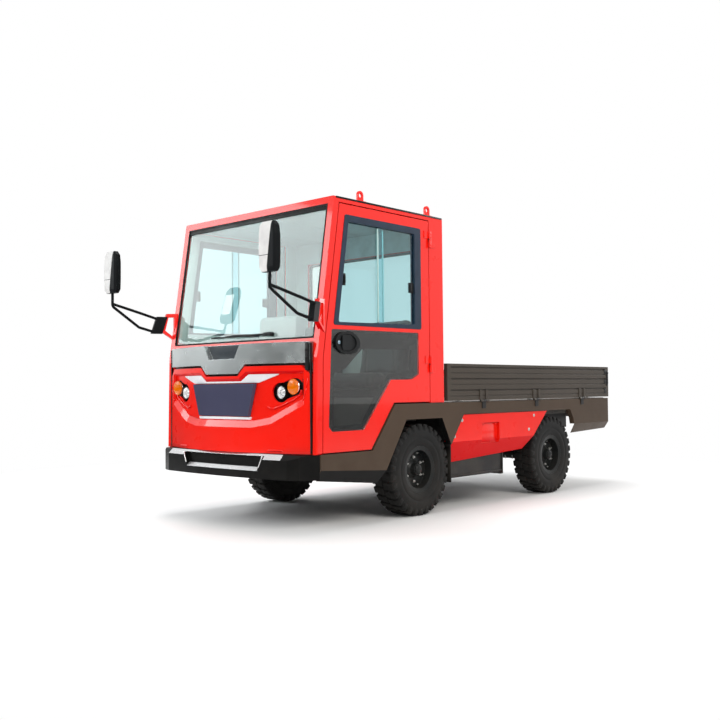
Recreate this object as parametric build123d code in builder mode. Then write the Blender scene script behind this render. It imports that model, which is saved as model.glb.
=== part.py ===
"""Electric platform truck: a two-door steel cab over the front axle and a dropside load bed.

x runs across, +x being the truck's left; y runs aft; z is up from the ground.
Every outline is drawn with the front axle at y = 0, and each piece is set down
with the middle of the overall length on the origin.
"""
import math
import os

from build123d import *

os.makedirs("parts", exist_ok=True)

# Body width, which the running gear and the bed follow
BODY_HALF = 705
SKIRT_PROUD = 9
BED_HALF = BODY_HALF + SKIRT_PROUD

# Running gear
TYRE_DIAMETER = 590
TYRE_WIDTH = 175
TYRE_INSET = 5
LUG_DEPTH = 14
LUGS_A_ROW = 24
RIM_RADIUS = 150
BEAD_RADIUS = 130
RIM_WALL = 8
WHEELBASE = 1620
KINGPIN_INSET = 107.5
STEER_ARM = 140
SPINDLE_RADIUS = 25
RUN_GAP = 0.3
RAIL_INSET = 175
RAIL_WIDTH = 60
RAIL_TOP = 590
RAIL_DEPTH = 120
AXLE_Z = TYRE_DIAMETER / 2
WHEEL_X = BODY_HALF - TYRE_INSET - TYRE_WIDTH / 2
KINGPIN_X = WHEEL_X - KINGPIN_INSET
RAIL_X = KINGPIN_X - RAIL_INSET
REAR_AXLE = WHEELBASE

# Cab
PILLAR = 45
PILLAR_ROUND = 9
CAB_NOSE = -950
CAB_BACK = 243
FIREWALL_Y = CAB_NOSE + 35
BEND_Z = 1000
BEND_Y = -940
ROOF_Z = 1947
ROOF_FRONT = -791
SILL_Z = 444
FLOOR_Z = 440
SHEET = 10
SEAT_BOX_Y = -375
SEAT_BOX_Z = 760
ROOF_RAIL = 33
HEADER = 42
SCREEN_LOW_Z = 1112
WAIST_Z = 968
PANE_TOP_Z = 1165
WINDOW_LOW_Z = 1190
COWL_Z = 1091
DOOR_GAP = 7
DOOR_THICK = 40
DOOR_BACK = 98
GLASS = 6
FIT = 0.4

# Bed, skirts and battery
DECK_Z = 720
DECK_SHEET = 4
BED_FRONT = 250
BED_REAR = 2531
GATE_HEIGHT = 249
GATE_THICK = 28
GATE_FOOT = 731
HEADBOARD_THICK = 12
SKIRT_FOLD_Z = 318
SKIRT_Z = 236
SKIRT_TUCK = 38
SKIRT_DEPTH = 40
SKIRT_SHEET = 5
BATTERY_INSET = 65
BATTERY_FRONT = 370
BATTERY_LOW = 205

# Front end
NOSE_Y = -1068
BUMPER_Y = -1085
BUMPER_LOW = 300
MIRROR_OUT = 49
MIRROR_Y = -1341
MIRROR_DEPTH = 52
MIRROR_WIDTH = 132
MIRROR_X = BODY_HALF + MIRROR_OUT

FRONT_AXLE_Y = -(BED_REAR + MIRROR_Y - MIRROR_DEPTH / 2) / 2
INNER_HALF = BODY_HALF - PILLAR
SCREEN_TOP_Z = ROOF_Z - HEADER
RAKE = (ROOF_FRONT - BEND_Y) / (ROOF_Z - BEND_Z)


def save(name, shape):
    """Set one piece down in the truck's own frame and write it."""
    placed = shape.moved(Location((0, FRONT_AXLE_Y, 0)))
    placed.label = name
    export_step(placed, f"parts/{name}.step")


def save_pair(stem, shape, tail=""):
    """Write a left-hand piece and its mirror image."""
    save(f"{stem}_left{tail}", shape)
    save(f"{stem}_right{tail}", mirror(shape, about=Plane.YZ))


def screen_y(z):
    """Front line of the raked windscreen pillars at height z."""
    return BEND_Y + (z - BEND_Z) * RAKE


# Chassis: two kicked-up rails joined by cross members
rail_low = RAIL_TOP - RAIL_DEPTH
floor_low = FLOOR_Z - SHEET
with BuildPart() as chassis_frame:
    with BuildSketch(Plane.YZ.offset(RAIL_X - RAIL_WIDTH / 2)):
        Polygon(
            (CAB_NOSE, floor_low - 100),
            (-395, floor_low - 100),
            (-310, rail_low),
            (BED_REAR - 91, rail_low),
            (BED_REAR - 91, RAIL_TOP),
            (-275, RAIL_TOP),
            (-360, floor_low),
            (CAB_NOSE, floor_low),
        )
    extrude(amount=RAIL_WIDTH)
    mirror(about=Plane.YZ)
    cross_half = RAIL_X - RAIL_WIDTH / 2
    for y, z, depth in (
        (-900, floor_low - 50, 80),
        (-470, floor_low - 50, 80),
        (-60, RAIL_TOP - 40, 60),
        (REAR_AXLE - 490, RAIL_TOP - 40, 60),
        (REAR_AXLE + 330, RAIL_TOP - 60, 90),
        (BED_REAR - 111, RAIL_TOP - 60, RAIL_DEPTH),
    ):
        with Locations((0, y, z)):
            Box(2 * cross_half, 40, depth)
save("chassis_frame", chassis_frame.part)

# Front axle beam with a boss at each kingpin
with BuildPart() as front_axle:
    with Locations((0, 0, AXLE_Z)):
        Box(2 * KINGPIN_X, 60, 66)
    with Locations((-KINGPIN_X, 0, AXLE_Z), (KINGPIN_X, 0, AXLE_Z)):
        Cylinder(30, 90)
        Cylinder(14 + RUN_GAP, 90, mode=Mode.SUBTRACT)
    with Locations((-RAIL_X, 0, AXLE_Z + 34), (RAIL_X, 0, AXLE_Z + 34)):
        Box(70, 90, 6)
save("front_axle", front_axle.part)

# Steering knuckle: yoke round the boss, kingpin, spindle and steering arm
with BuildPart() as knuckle:
    with Locations((KINGPIN_X, 0, AXLE_Z)):
        Cylinder(14, 136)
    for side in (-1, 1):
        with BuildSketch(Plane.XY.offset(AXLE_Z + side * 57 - 11)):
            with Locations((KINGPIN_X, 0)):
                Circle(32)
            with Locations((KINGPIN_X + 28, 0)):
                Rectangle(56, 64)
        extrude(amount=22)
    with Locations((KINGPIN_X + 46, 0, AXLE_Z)):
        Box(20, 70, 136)
    with BuildSketch(Plane.YZ.offset(KINGPIN_X + 50)):
        with Locations((0, AXLE_Z)):
            Circle(SPINDLE_RADIUS)
    extrude(amount=WHEEL_X + 43 - KINGPIN_X - 50)
    with BuildSketch(Plane.XY.offset(AXLE_Z - 68)):
        with Locations((KINGPIN_X, STEER_ARM / 2)):
            Rectangle(26, STEER_ARM)
        with Locations((KINGPIN_X, STEER_ARM)):
            Circle(18)
    extrude(amount=20)
    with Locations((KINGPIN_X, STEER_ARM, AXLE_Z - 58)):
        Cylinder(8 + RUN_GAP, 20, mode=Mode.SUBTRACT)
save_pair("knuckle", knuckle.part)

# Tie rod with an upright pin in each steering arm
with BuildPart() as tie_rod:
    rod_z = AXLE_Z - 88
    with BuildSketch(Plane.YZ.offset(-KINGPIN_X)):
        with Locations((STEER_ARM, rod_z)):
            Circle(11)
    extrude(amount=2 * KINGPIN_X)
    with Locations((-KINGPIN_X, STEER_ARM, rod_z), (KINGPIN_X, STEER_ARM, rod_z)):
        Cylinder(16, 32)
        Cylinder(8, 46, align=(Align.CENTER, Align.CENTER, Align.MIN))
save("tie_rod", tie_rod.part)

# Rear drive axle: tube, differential, motor and brake drums
with BuildPart() as rear_axle:
    with BuildSketch(Plane.YZ.offset(-WHEEL_X + 40)):
        with Locations((REAR_AXLE, AXLE_Z)):
            Circle(45)
    extrude(amount=2 * WHEEL_X - 80)
    with BuildSketch(Plane.YZ.offset(-WHEEL_X - 43)):
        with Locations((REAR_AXLE, AXLE_Z)):
            Circle(SPINDLE_RADIUS)
    extrude(amount=2 * WHEEL_X + 86)
    with Locations((0, REAR_AXLE, AXLE_Z)):
        Sphere(115)
    for side in (-1, 1):
        with BuildSketch(Plane.YZ.offset(side * (WHEEL_X - 60) - 25)):
            with Locations((REAR_AXLE, AXLE_Z)):
                Circle(108)
        extrude(amount=50)
        with Locations((side * RAIL_X, REAR_AXLE, AXLE_Z + 44)):
            Box(70, 90, 10)
    with BuildSketch(Plane.XZ.offset(-REAR_AXLE)):
        with Locations((0, AXLE_Z)):
            Circle(95)
    extrude(amount=390)
save("rear_axle", rear_axle.part)

# Leaf springs: bowed packs on the axle pads, hung from brackets under the rails
spring_rows = (
    (0, AXLE_Z + 37, 260),
    (REAR_AXLE, AXLE_Z + 49, 380),
)
with BuildPart() as leaf_springs:
    for y, seat_z, half in spring_rows:
        with BuildSketch(Plane.YZ.offset(RAIL_X - 27)):
            with BuildLine():
                ThreePointArc((y - half, rail_low - 40), (y, seat_z), (y + half, rail_low - 40))
                Line((y + half, rail_low - 40), (y + half, rail_low - 26))
                ThreePointArc((y + half, rail_low - 26), (y, seat_z + 26), (y - half, rail_low - 26))
                Line((y - half, rail_low - 26), (y - half, rail_low - 40))
            make_face()
            for side in (-1, 1):
                with Locations((y + side * half, rail_low - 33)):
                    Circle(17)
            with Locations((y, seat_z + 13)):
                Rectangle(110, 26)
        extrude(amount=54)
        with Locations((RAIL_X, y - half, rail_low - 33), (RAIL_X, y + half, rail_low - 33)):
            Box(RAIL_WIDTH, 24, 66)
    mirror(about=Plane.YZ)
save("leaf_springs", leaf_springs.part)

# Wheels: dished rim with hub, and a tyre with two staggered rows of lugs
flange_x = 76
bead_x = flange_x - 10
tyre_half = TYRE_WIDTH / 2
crown = TYRE_DIAMETER / 2
lug_turn = 180 / LUGS_A_ROW
lug_half = math.radians(0.46 * lug_turn)
lug_out = tyre_half - 6
# carcass and bead: distance from the wheel's middle, radius over the flats
carcass_rows = (
    (-flange_x, RIM_RADIUS + 8),
    (-tyre_half, (RIM_RADIUS + crown) / 2 + 12),
    (-lug_out, crown - 2 * LUG_DEPTH),
    (lug_out, crown - 2 * LUG_DEPTH),
    (tyre_half, (RIM_RADIUS + crown) / 2 + 12),
    (flange_x, RIM_RADIUS + 8),
)
bead_rows = (
    (-flange_x - 1, RIM_RADIUS + RUN_GAP),
    (-bead_x - 4 + RUN_GAP, RIM_RADIUS + RUN_GAP),
    (-bead_x + RUN_GAP, BEAD_RADIUS + RUN_GAP),
    (bead_x - RUN_GAP, BEAD_RADIUS + RUN_GAP),
    (bead_x + 4 - RUN_GAP, RIM_RADIUS + RUN_GAP),
    (flange_x + 1, RIM_RADIUS + RUN_GAP),
)


def lug_ring(first):
    """Outline of one row of lugs, flat on top and on the floor between, from its first angle in degrees."""
    root = (crown - LUG_DEPTH) / math.cos(lug_half)
    tip = crown / math.cos(lug_half)
    outline = []
    for count in range(LUGS_A_ROW):
        middle = math.radians(first + 2 * lug_turn * count)
        for radius, turn in ((root, -lug_half), (tip, -lug_half), (tip, lug_half), (root, lug_half)):
            outline.append((radius * math.cos(middle + turn), radius * math.sin(middle + turn)))
    with BuildSketch() as ring:
        Polygon(*outline)
        RegularPolygon(RIM_RADIUS + 60, LUGS_A_ROW, major_radius=False, mode=Mode.SUBTRACT)
    return ring.sketch


wheel_rows = (
    ("front", 0),
    ("rear", REAR_AXLE),
)
for end, y in wheel_rows:
    hub = Plane((WHEEL_X, y, AXLE_Z), x_dir=(1, 0, 0), z_dir=(0, -1, 0))
    spin = Axis((WHEEL_X, y, AXLE_Z), (1, 0, 0))
    with BuildPart() as rim:
        with BuildSketch(hub):
            Polygon(
                (-70, BEAD_RADIUS - RIM_WALL),
                (8, BEAD_RADIUS - RIM_WALL),
                (8, 58),
                (-12, 58),
                (-12, SPINDLE_RADIUS + RUN_GAP),
                (46, SPINDLE_RADIUS + RUN_GAP),
                (46, 0),
                (60, 0),
                (60, 36),
                (30, 44),
                (16, 62),
                (16, BEAD_RADIUS - RIM_WALL),
                (70, BEAD_RADIUS - RIM_WALL + 2),
                (flange_x, RIM_RADIUS),
                (bead_x + 4, RIM_RADIUS),
                (bead_x, BEAD_RADIUS),
                (-bead_x, BEAD_RADIUS),
                (-bead_x - 4, RIM_RADIUS),
                (-flange_x, RIM_RADIUS),
            )
        revolve(axis=spin)
    save_pair(f"rim_{end}", rim.part)
    with BuildPart() as tyre:
        for x, radius in carcass_rows:
            with BuildSketch(Plane.YZ.offset(WHEEL_X + x)):
                with Locations((y, AXLE_Z)):
                    RegularPolygon(radius, LUGS_A_ROW, major_radius=False)
        loft(ruled=True)
        for side, first in ((-1, 90), (1, 90 + lug_turn)):
            with BuildSketch(Plane.YZ.offset(WHEEL_X)):
                with Locations((y, AXLE_Z)):
                    add(lug_ring(first))
            extrude(amount=side * lug_out)
        for x, radius in bead_rows:
            with BuildSketch(Plane.YZ.offset(WHEEL_X + x)):
                with Locations((y, AXLE_Z)):
                    RegularPolygon(radius, LUGS_A_ROW, major_radius=False)
        loft(ruled=True, mode=Mode.SUBTRACT)
    save_pair(f"tyre_{end}", tyre.part)

# Battery box slung under the rails, with saddle halves outside them and mud flaps in front
battery_half = BODY_HALF - BATTERY_INSET
battery_rear = REAR_AXLE - 610
battery_top = 620
saddle_x = RAIL_X + RAIL_WIDTH / 2 + 6
with BuildPart() as battery_box:
    with BuildSketch(Plane.XZ.offset(-battery_rear)):
        Polygon(
            (-battery_half, BATTERY_LOW),
            (battery_half, BATTERY_LOW),
            (battery_half, battery_top),
            (saddle_x, battery_top),
            (saddle_x, rail_low - FIT),
            (-saddle_x, rail_low - FIT),
            (-saddle_x, battery_top),
            (-battery_half, battery_top),
        )
    extrude(amount=battery_rear - BATTERY_FRONT)
    flap_in = saddle_x + 14
    flap_wide = battery_half - 4 - flap_in
    for side in (-1, 1):
        with Locations((side * (flap_in + flap_wide / 2), BATTERY_FRONT - 3, BATTERY_LOW + 195)):
            Box(flap_wide, 6, 420)
save("battery_box", battery_box.part)

# Skirts: folded pans along each side with both wheel arches, tucked in below a fold
arch_top = 620
panel_top = 638
arch_front = -160
arch_slope = 242 / 370
fold_rear = 522
hem_rear = 448
skirt_front = CAB_NOSE + 25
skirt_rear = BED_REAR - 10


def arch_y(z):
    """Front edge of the front wheel arch at height z."""
    return arch_front - (arch_top - z) * arch_slope


skirt_outline = (
    (skirt_front, SILL_Z),
    (-480, SILL_Z),
    (-266, DECK_Z),
    (skirt_rear, DECK_Z),
    (skirt_rear, fold_rear),
    (REAR_AXLE + 325, fold_rear),
    (REAR_AXLE + 312, 569),
    (REAR_AXLE + 264, panel_top),
    (BATTERY_FRONT + 82, panel_top),
    (BATTERY_FRONT - 52, 452),
    (BATTERY_FRONT - 64, 440),
    (210, arch_top),
    (arch_front, arch_top),
    (arch_y(SKIRT_FOLD_Z), SKIRT_FOLD_Z),
    (skirt_front, SKIRT_FOLD_Z + 37),
)
# hems: front and rear end of each, as (y, fold height, hem height)
hem_rows = (
    ((skirt_front, SKIRT_FOLD_Z + 37, SKIRT_Z + 57), (arch_y(SKIRT_FOLD_Z), SKIRT_FOLD_Z, SKIRT_Z)),
    ((REAR_AXLE + 336, fold_rear, hem_rear), (skirt_rear, fold_rear, hem_rear + 19)),
)
with BuildPart() as skirt:
    with BuildSketch(Plane.YZ.offset(BED_HALF - SKIRT_DEPTH)):
        Polygon(*skirt_outline)
    extrude(amount=SKIRT_DEPTH)
    offset(amount=-SKIRT_SHEET, openings=skirt.faces().sort_by(Axis.X)[0])
    for ends in hem_rows:
        for y, fold_z, hem_z in ends:
            with BuildSketch(Plane.XZ.offset(-y)):
                Polygon(
                    (BED_HALF, fold_z + 2),
                    (BED_HALF, fold_z),
                    (BED_HALF - SKIRT_TUCK, hem_z),
                    (BED_HALF - SKIRT_TUCK - SKIRT_SHEET, hem_z),
                    (BED_HALF - SKIRT_SHEET, fold_z + 2),
                )
        loft(ruled=True)
    with BuildSketch(Plane.YZ.offset(BED_HALF - 2 * SKIRT_DEPTH)):
        Polygon((arch_y(SKIRT_FOLD_Z), SKIRT_FOLD_Z), (0, SKIRT_FOLD_Z), (0, 100), (arch_y(100), 100))
    extrude(amount=3 * SKIRT_DEPTH, mode=Mode.SUBTRACT)
save_pair("skirt", skirt.part)

# Battery side panels: folded inward below the crease, with a recess for the charging flap
panel_front = BATTERY_FRONT - 40
panel_rear = REAR_AXLE - 375
crease_z = 456
flap_y = (panel_front + panel_rear) / 2 - 4
with BuildPart() as battery_panel:
    with BuildSketch(Plane.YZ.offset(battery_half + FIT)):
        Polygon(
            (BATTERY_FRONT + 82, panel_top - 3),
            (REAR_AXLE - 76, panel_top - 3),
            (panel_rear, 360),
            (panel_front, 312),
            (panel_front - 8, crease_z - 4),
        )
    extrude(amount=BATTERY_INSET)
    with BuildSketch(Plane.XZ.offset(-panel_front + 30)):
        Polygon((BODY_HALF + 1, crease_z), (BODY_HALF + 1, 300), (battery_half, 300))
    extrude(amount=panel_front - REAR_AXLE, mode=Mode.SUBTRACT)
    with Locations((BODY_HALF, flap_y, 500)):
        Box(50, 218, 143, mode=Mode.SUBTRACT)
save_pair("battery_panel", battery_panel.part)

# Bumper: bowed bar with cut-back ends, a sloped top edge and a hollow slot
bumper_bow = BODY_HALF - 145
bumper_corner = BODY_HALF - 71
bumper_rise = 37
bumper_top = SILL_Z - 2
slot_half = BODY_HALF - 364
slot_low = BUMPER_LOW + 66
with BuildPart() as bumper:
    with BuildSketch(Plane.XY.offset(BUMPER_LOW)):
        with BuildLine():
            ThreePointArc(
                (-bumper_bow, BUMPER_Y + bumper_rise),
                (0, BUMPER_Y),
                (bumper_bow, BUMPER_Y + bumper_rise),
            )
            Polyline(
                (bumper_bow, BUMPER_Y + bumper_rise),
                (bumper_corner, BUMPER_Y + 65),
                (BODY_HALF, CAB_NOSE + 23),
                (BODY_HALF - 40, CAB_NOSE + 23),
                (BODY_HALF - 105, CAB_NOSE),
                (-BODY_HALF + 105, CAB_NOSE),
                (-BODY_HALF + 40, CAB_NOSE + 23),
                (-BODY_HALF, CAB_NOSE + 23),
                (-bumper_corner, BUMPER_Y + 65),
                (-bumper_bow, BUMPER_Y + bumper_rise),
            )
        make_face()
    extrude(amount=bumper_top - BUMPER_LOW)
    chamfer(bumper.edges().group_by(Axis.Z)[-1].sort_by(Axis.Y)[:1], 30)
    with BuildSketch(Plane.XZ.offset(-BUMPER_Y - 45)):
        Polygon(
            (-slot_half, slot_low),
            (slot_half, slot_low),
            (slot_half + 31, bumper_top - 12),
            (-slot_half - 31, bumper_top - 12),
        )
    extrude(amount=100, mode=Mode.SUBTRACT)
    slot_floor = bumper.faces().filter_by(lambda face: abs(face.center().Z - slot_low) < FIT)
    chamfer(slot_floor.edges().sort_by(Axis.Y)[:1], 21)
save("bumper", bumper.part)

# Cab floor: firewall, foot well, seat-box front and seat deck in one folded section
with BuildPart() as cab_floor:
    with BuildSketch(Plane.YZ.offset(-INNER_HALF)):
        Polygon(
            (FIREWALL_Y, COWL_Z),
            (FIREWALL_Y, floor_low),
            (SEAT_BOX_Y + SHEET, floor_low),
            (SEAT_BOX_Y + SHEET, SEAT_BOX_Z - SHEET),
            (CAB_BACK - 45, SEAT_BOX_Z - SHEET),
            (CAB_BACK - 45, SEAT_BOX_Z),
            (SEAT_BOX_Y, SEAT_BOX_Z),
            (SEAT_BOX_Y, FLOOR_Z),
            (FIREWALL_Y + SHEET, FLOOR_Z),
            (FIREWALL_Y + SHEET, COWL_Z),
        )
    extrude(amount=2 * INNER_HALF)
save("cab_floor", cab_floor.part)

# Side frames: raked front pillar, roof rail and wide rear pillar
with BuildPart() as side_frame:
    with BuildSketch(Plane.YZ.offset(INNER_HALF)):
        Polygon(
            (CAB_NOSE, SILL_Z),
            (BEND_Y, BEND_Z),
            (ROOF_FRONT, ROOF_Z),
            (CAB_BACK, ROOF_Z),
            (CAB_BACK, DECK_Z + 2),
            (DOOR_BACK, DECK_Z + 2),
            (DOOR_BACK, ROOF_Z - ROOF_RAIL),
            (screen_y(ROOF_Z - ROOF_RAIL) + PILLAR, ROOF_Z - ROOF_RAIL),
            (BEND_Y + PILLAR, BEND_Z),
            (CAB_NOSE + PILLAR, SILL_Z),
        )
    extrude(amount=PILLAR)
    outer_edges = side_frame.faces().sort_by(Axis.X)[-1].outer_wire().edges()
    front_edges = outer_edges.sort_by(Axis.Y)[:2]
    roof_edge = outer_edges.group_by(Axis.Z)[-1]
    fillet(front_edges + roof_edge, PILLAR_ROUND)
    inner_edges = side_frame.faces().sort_by(Axis.X)[0].outer_wire().edges()
    chamfer(inner_edges.sort_by(Axis.Y)[:1], 13)
save_pair("side_frame", side_frame.part)

# Cross rails: windscreen header, windscreen sill and rear header
with BuildPart() as cross_rails:
    with BuildSketch(Plane.YZ.offset(-INNER_HALF)):
        Polygon(
            (ROOF_FRONT, ROOF_Z),
            (screen_y(SCREEN_TOP_Z), SCREEN_TOP_Z),
            (screen_y(SCREEN_TOP_Z) + PILLAR, SCREEN_TOP_Z),
            (ROOF_FRONT + PILLAR, ROOF_Z),
        )
        Polygon(
            (screen_y(COWL_Z + 1), COWL_Z + 1),
            (screen_y(COWL_Z + 1) + PILLAR, COWL_Z + 1),
            (screen_y(SCREEN_LOW_Z) + PILLAR, SCREEN_LOW_Z),
            (screen_y(SCREEN_LOW_Z), SCREEN_LOW_Z),
        )
        with Locations((CAB_BACK - PILLAR / 2, ROOF_Z - ROOF_RAIL / 2)):
            Rectangle(PILLAR, ROOF_RAIL)
    extrude(amount=2 * INNER_HALF)
save("cross_rails", cross_rails.part)

# Windscreen: one flat raked pane let into the frame
with BuildPart() as windscreen:
    low = SCREEN_LOW_Z + FIT
    top = SCREEN_TOP_Z - FIT
    with BuildSketch(Plane.YZ.offset(-INNER_HALF + FIT)):
        Polygon(
            (screen_y(low) + 8, low),
            (screen_y(low) + 8 + GLASS, low),
            (screen_y(top) + 8 + GLASS, top),
            (screen_y(top) + 8, top),
        )
    extrude(amount=2 * (INNER_HALF - FIT))
save("windscreen", windscreen.part)

# Wiper parked along the foot of the windscreen
with BuildPart() as wiper:
    wiper_z = SCREEN_LOW_Z + 28
    glass_plane = Plane(
        (0, screen_y(wiper_z) + 8, wiper_z),
        x_dir=(1, 0, 0),
        z_dir=(0, -1, RAKE),
    )
    with BuildSketch(glass_plane):
        with Locations((-40, 8)):
            Rectangle(480, 10)
    extrude(amount=14)
    with BuildSketch(glass_plane.offset(14)):
        with Locations((120, 8)):
            Rectangle(360, 16)
        with Locations((300, 8)):
            Circle(18)
    extrude(amount=12)
    with BuildSketch(glass_plane):
        with Locations((300, 8)):
            Circle(14)
    extrude(amount=16)
save("wiper", wiper.part)

# Roof panel between the rails, with pressed stiffeners
with BuildPart() as roof_panel:
    roof_front = ROOF_FRONT + PILLAR + FIT
    roof_back = CAB_BACK - PILLAR - FIT
    with BuildSketch(Plane.XY.offset(ROOF_Z - 30)):
        with Locations((0, (roof_front + roof_back) / 2)):
            Rectangle(2 * (INNER_HALF - FIT), roof_back - roof_front)
    extrude(amount=22)
    with BuildSketch(Plane.XY.offset(ROOF_Z - 8)):
        for row in (-2, -1, 0, 1, 2):
            with Locations((row * INNER_HALF / 3, (roof_front + roof_back) / 2)):
                SlotOverall(roof_back - roof_front - 90, 60, rotation=90)
    extrude(amount=8)
save("roof_panel", roof_panel.part)

# Rear wall and its window
wall_low = DECK_Z + 2
wall_top = ROOF_Z - ROOF_RAIL - FIT
rear_sill = 1150
rear_glass_top = ROOF_Z - 197
rear_glass_half = INNER_HALF - 130
with BuildPart() as rear_wall:
    with BuildSketch(Plane.XZ.offset(-CAB_BACK + 4)):
        with Locations((0, (wall_low + wall_top) / 2)):
            Rectangle(2 * (INNER_HALF - FIT), wall_top - wall_low)
        with Locations((0, (rear_sill + rear_glass_top) / 2)):
            RectangleRounded(2 * rear_glass_half, rear_glass_top - rear_sill, 40, mode=Mode.SUBTRACT)
    extrude(amount=36)
save("rear_wall", rear_wall.part)
with BuildPart() as rear_window:
    with BuildSketch(Plane.XZ.offset(-CAB_BACK + 17)):
        with Locations((0, (rear_sill + rear_glass_top) / 2)):
            RectangleRounded(2 * (rear_glass_half - FIT), rear_glass_top - rear_sill - 2 * FIT, 40 - FIT)
    extrude(amount=GLASS)
save("rear_window", rear_window.part)

# Front panel: bowed red skin whose upper field is sunk behind a belt line
bow = INNER_HALF - 3


def bow_band(front, back, half):
    """Plan outline between two bowed lines, closed by returns to the firewall."""
    rise = CAB_NOSE - NOSE_Y
    with BuildSketch() as band:
        with BuildLine():
            ThreePointArc((-half, front + rise), (0, front), (half, front + rise))
            Polyline(
                (half, front + rise),
                (half, FIREWALL_Y - FIT),
                (half - 30, FIREWALL_Y - FIT),
                (half - 30, back + rise),
            )
            ThreePointArc((half - 30, back + rise), (0, back), (-half + 30, back + rise))
            Polyline(
                (-half + 30, back + rise),
                (-half + 30, FIREWALL_Y - FIT),
                (-half, FIREWALL_Y - FIT),
                (-half, front + rise),
            )
        make_face()
    return band.sketch


sunk = 22
shut = 12
fascia_top = WAIST_Z - shut
notch_low = WAIST_Z - 56
notch_foot = 150
notch_head = 209
belt_z = fascia_top - 46
lamp_x = bow - 204
lamp_z = 800
blinker_x = bow - 109
blinker_z = 833
lamp_hole = 50
# name, place across, height, radius, front face
lamp_rows = (
    ("headlamps", lamp_x, lamp_z, 42, FIREWALL_Y - 75),
    ("front_indicators", blinker_x, blinker_z, 46, FIREWALL_Y - 69),
)
with BuildPart() as fascia:
    with BuildSketch(Plane.XY.offset(SILL_Z + 2)):
        add(bow_band(NOSE_Y, NOSE_Y + 30, bow))
    extrude(amount=fascia_top - SILL_Z - 2)
    with BuildSketch(Plane.XZ.offset(900)):
        Polygon(
            (-notch_head, fascia_top + 1),
            (-notch_foot, notch_low - shut),
            (notch_foot, notch_low - shut),
            (notch_head, fascia_top + 1),
        )
        for side in (-1, 1):
            Polygon(
                (side * (bow - 58), fascia_top + 1),
                (side * (bow + 1), fascia_top - 52),
                (side * (bow + 1), fascia_top + 1),
            )
    extrude(amount=300, mode=Mode.SUBTRACT)
    with BuildSketch(Plane.XZ.offset(900)):
        for side in (-1, 1):
            with BuildLine():
                Line((side * lamp_x, lamp_z), (side * blinker_x, blinker_z))
            trace(line_width=2 * lamp_hole)
            with Locations((side * blinker_x, blinker_z)):
                Circle(lamp_hole)
            with Locations((side * lamp_x, lamp_z)):
                Circle(lamp_hole + 8)
    extrude(amount=300, mode=Mode.SUBTRACT)
field_half = bow - 53
field_bend = bow - 269
field_foot = bow - 395
with BuildPart() as field:
    with BuildSketch(Plane.XY.offset(600)):
        with BuildLine():
            field_y = CAB_NOSE + sunk
            ThreePointArc((-bow, field_y), (0, NOSE_Y + sunk), (bow, field_y))
            Polyline((bow, field_y), (bow, NOSE_Y - 60), (-bow, NOSE_Y - 60), (-bow, field_y))
        make_face()
    extrude(amount=350)
    with BuildSketch(Plane.XZ.offset(900)):
        Polygon(
            (-field_half, belt_z),
            (-notch_head - 16, belt_z),
            (-notch_foot - 15, notch_low - shut - 30),
            (notch_foot + 15, notch_low - shut - 30),
            (notch_head + 16, belt_z),
            (field_half, belt_z),
            (field_half, 765),
            (field_bend, 655),
            (field_foot, 634),
            (-field_foot, 634),
            (-field_bend, 655),
            (-field_half, 765),
        )
    extrude(amount=300, mode=Mode.INTERSECT)
bow_rise = CAB_NOSE - NOSE_Y
bow_radius = (bow**2 + bow_rise**2) / (2 * bow_rise)


def on_rim(edge):
    """Whether an edge of the front skin bounds the sunk field."""
    middle = edge @ 0.5
    depth = bow_radius - math.hypot(middle.X, middle.Y - NOSE_Y - bow_radius)
    return abs(depth) < FIT and field.part.distance_to(middle) < FIT


with BuildPart() as sunk_fascia:
    add(fascia.part - field.part)
    rim = sunk_fascia.edges().filter_by(on_rim)
    round_faces = sunk_fascia.faces().filter_by(GeomType.CYLINDER)
    skin = round_faces.filter_by(lambda face: any(edge.is_same(rim[0]) for edge in face.edges()))[0]
    chamfer(rim.filter_by(lambda edge: (edge @ 0.5).Z < lamp_z), 40, sunk - 5, reference=skin)
    rim = sunk_fascia.edges().filter_by(on_rim)
    chamfer(rim.filter_by(lambda edge: (edge @ 0.5).Z > lamp_z), sunk - 7)
save("fascia", sunk_fascia.part)

# Lamps: round barrels standing on the firewall
for name, x, z, radius, front in lamp_rows:
    with BuildPart() as lamps:
        with BuildSketch(Plane.XZ.offset(FIT - FIREWALL_Y)):
            with Locations((-x, z), (x, z)):
                Circle(radius)
        extrude(amount=FIREWALL_Y - front)
        chamfer(lamps.faces().sort_by(Axis.Y)[:2].edges(), 8)
    save(name, lamps.part)

# Centre plate, dark and bare, proud of the sunk field
with BuildPart() as centre_plate:
    with BuildSketch(Plane.XZ.offset(-NOSE_Y - sunk - 14)):
        Polygon((-233, 660), (233, 660), (291, 854), (-291, 854))
    extrude(amount=22)
with BuildPart() as plate_back:
    with BuildSketch(Plane.XY.offset(600)):
        add(bow_band(NOSE_Y + sunk, NOSE_Y + sunk + 30, bow))
    extrude(amount=300)
save("centre_plate", centre_plate.part - plate_back.part)

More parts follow.
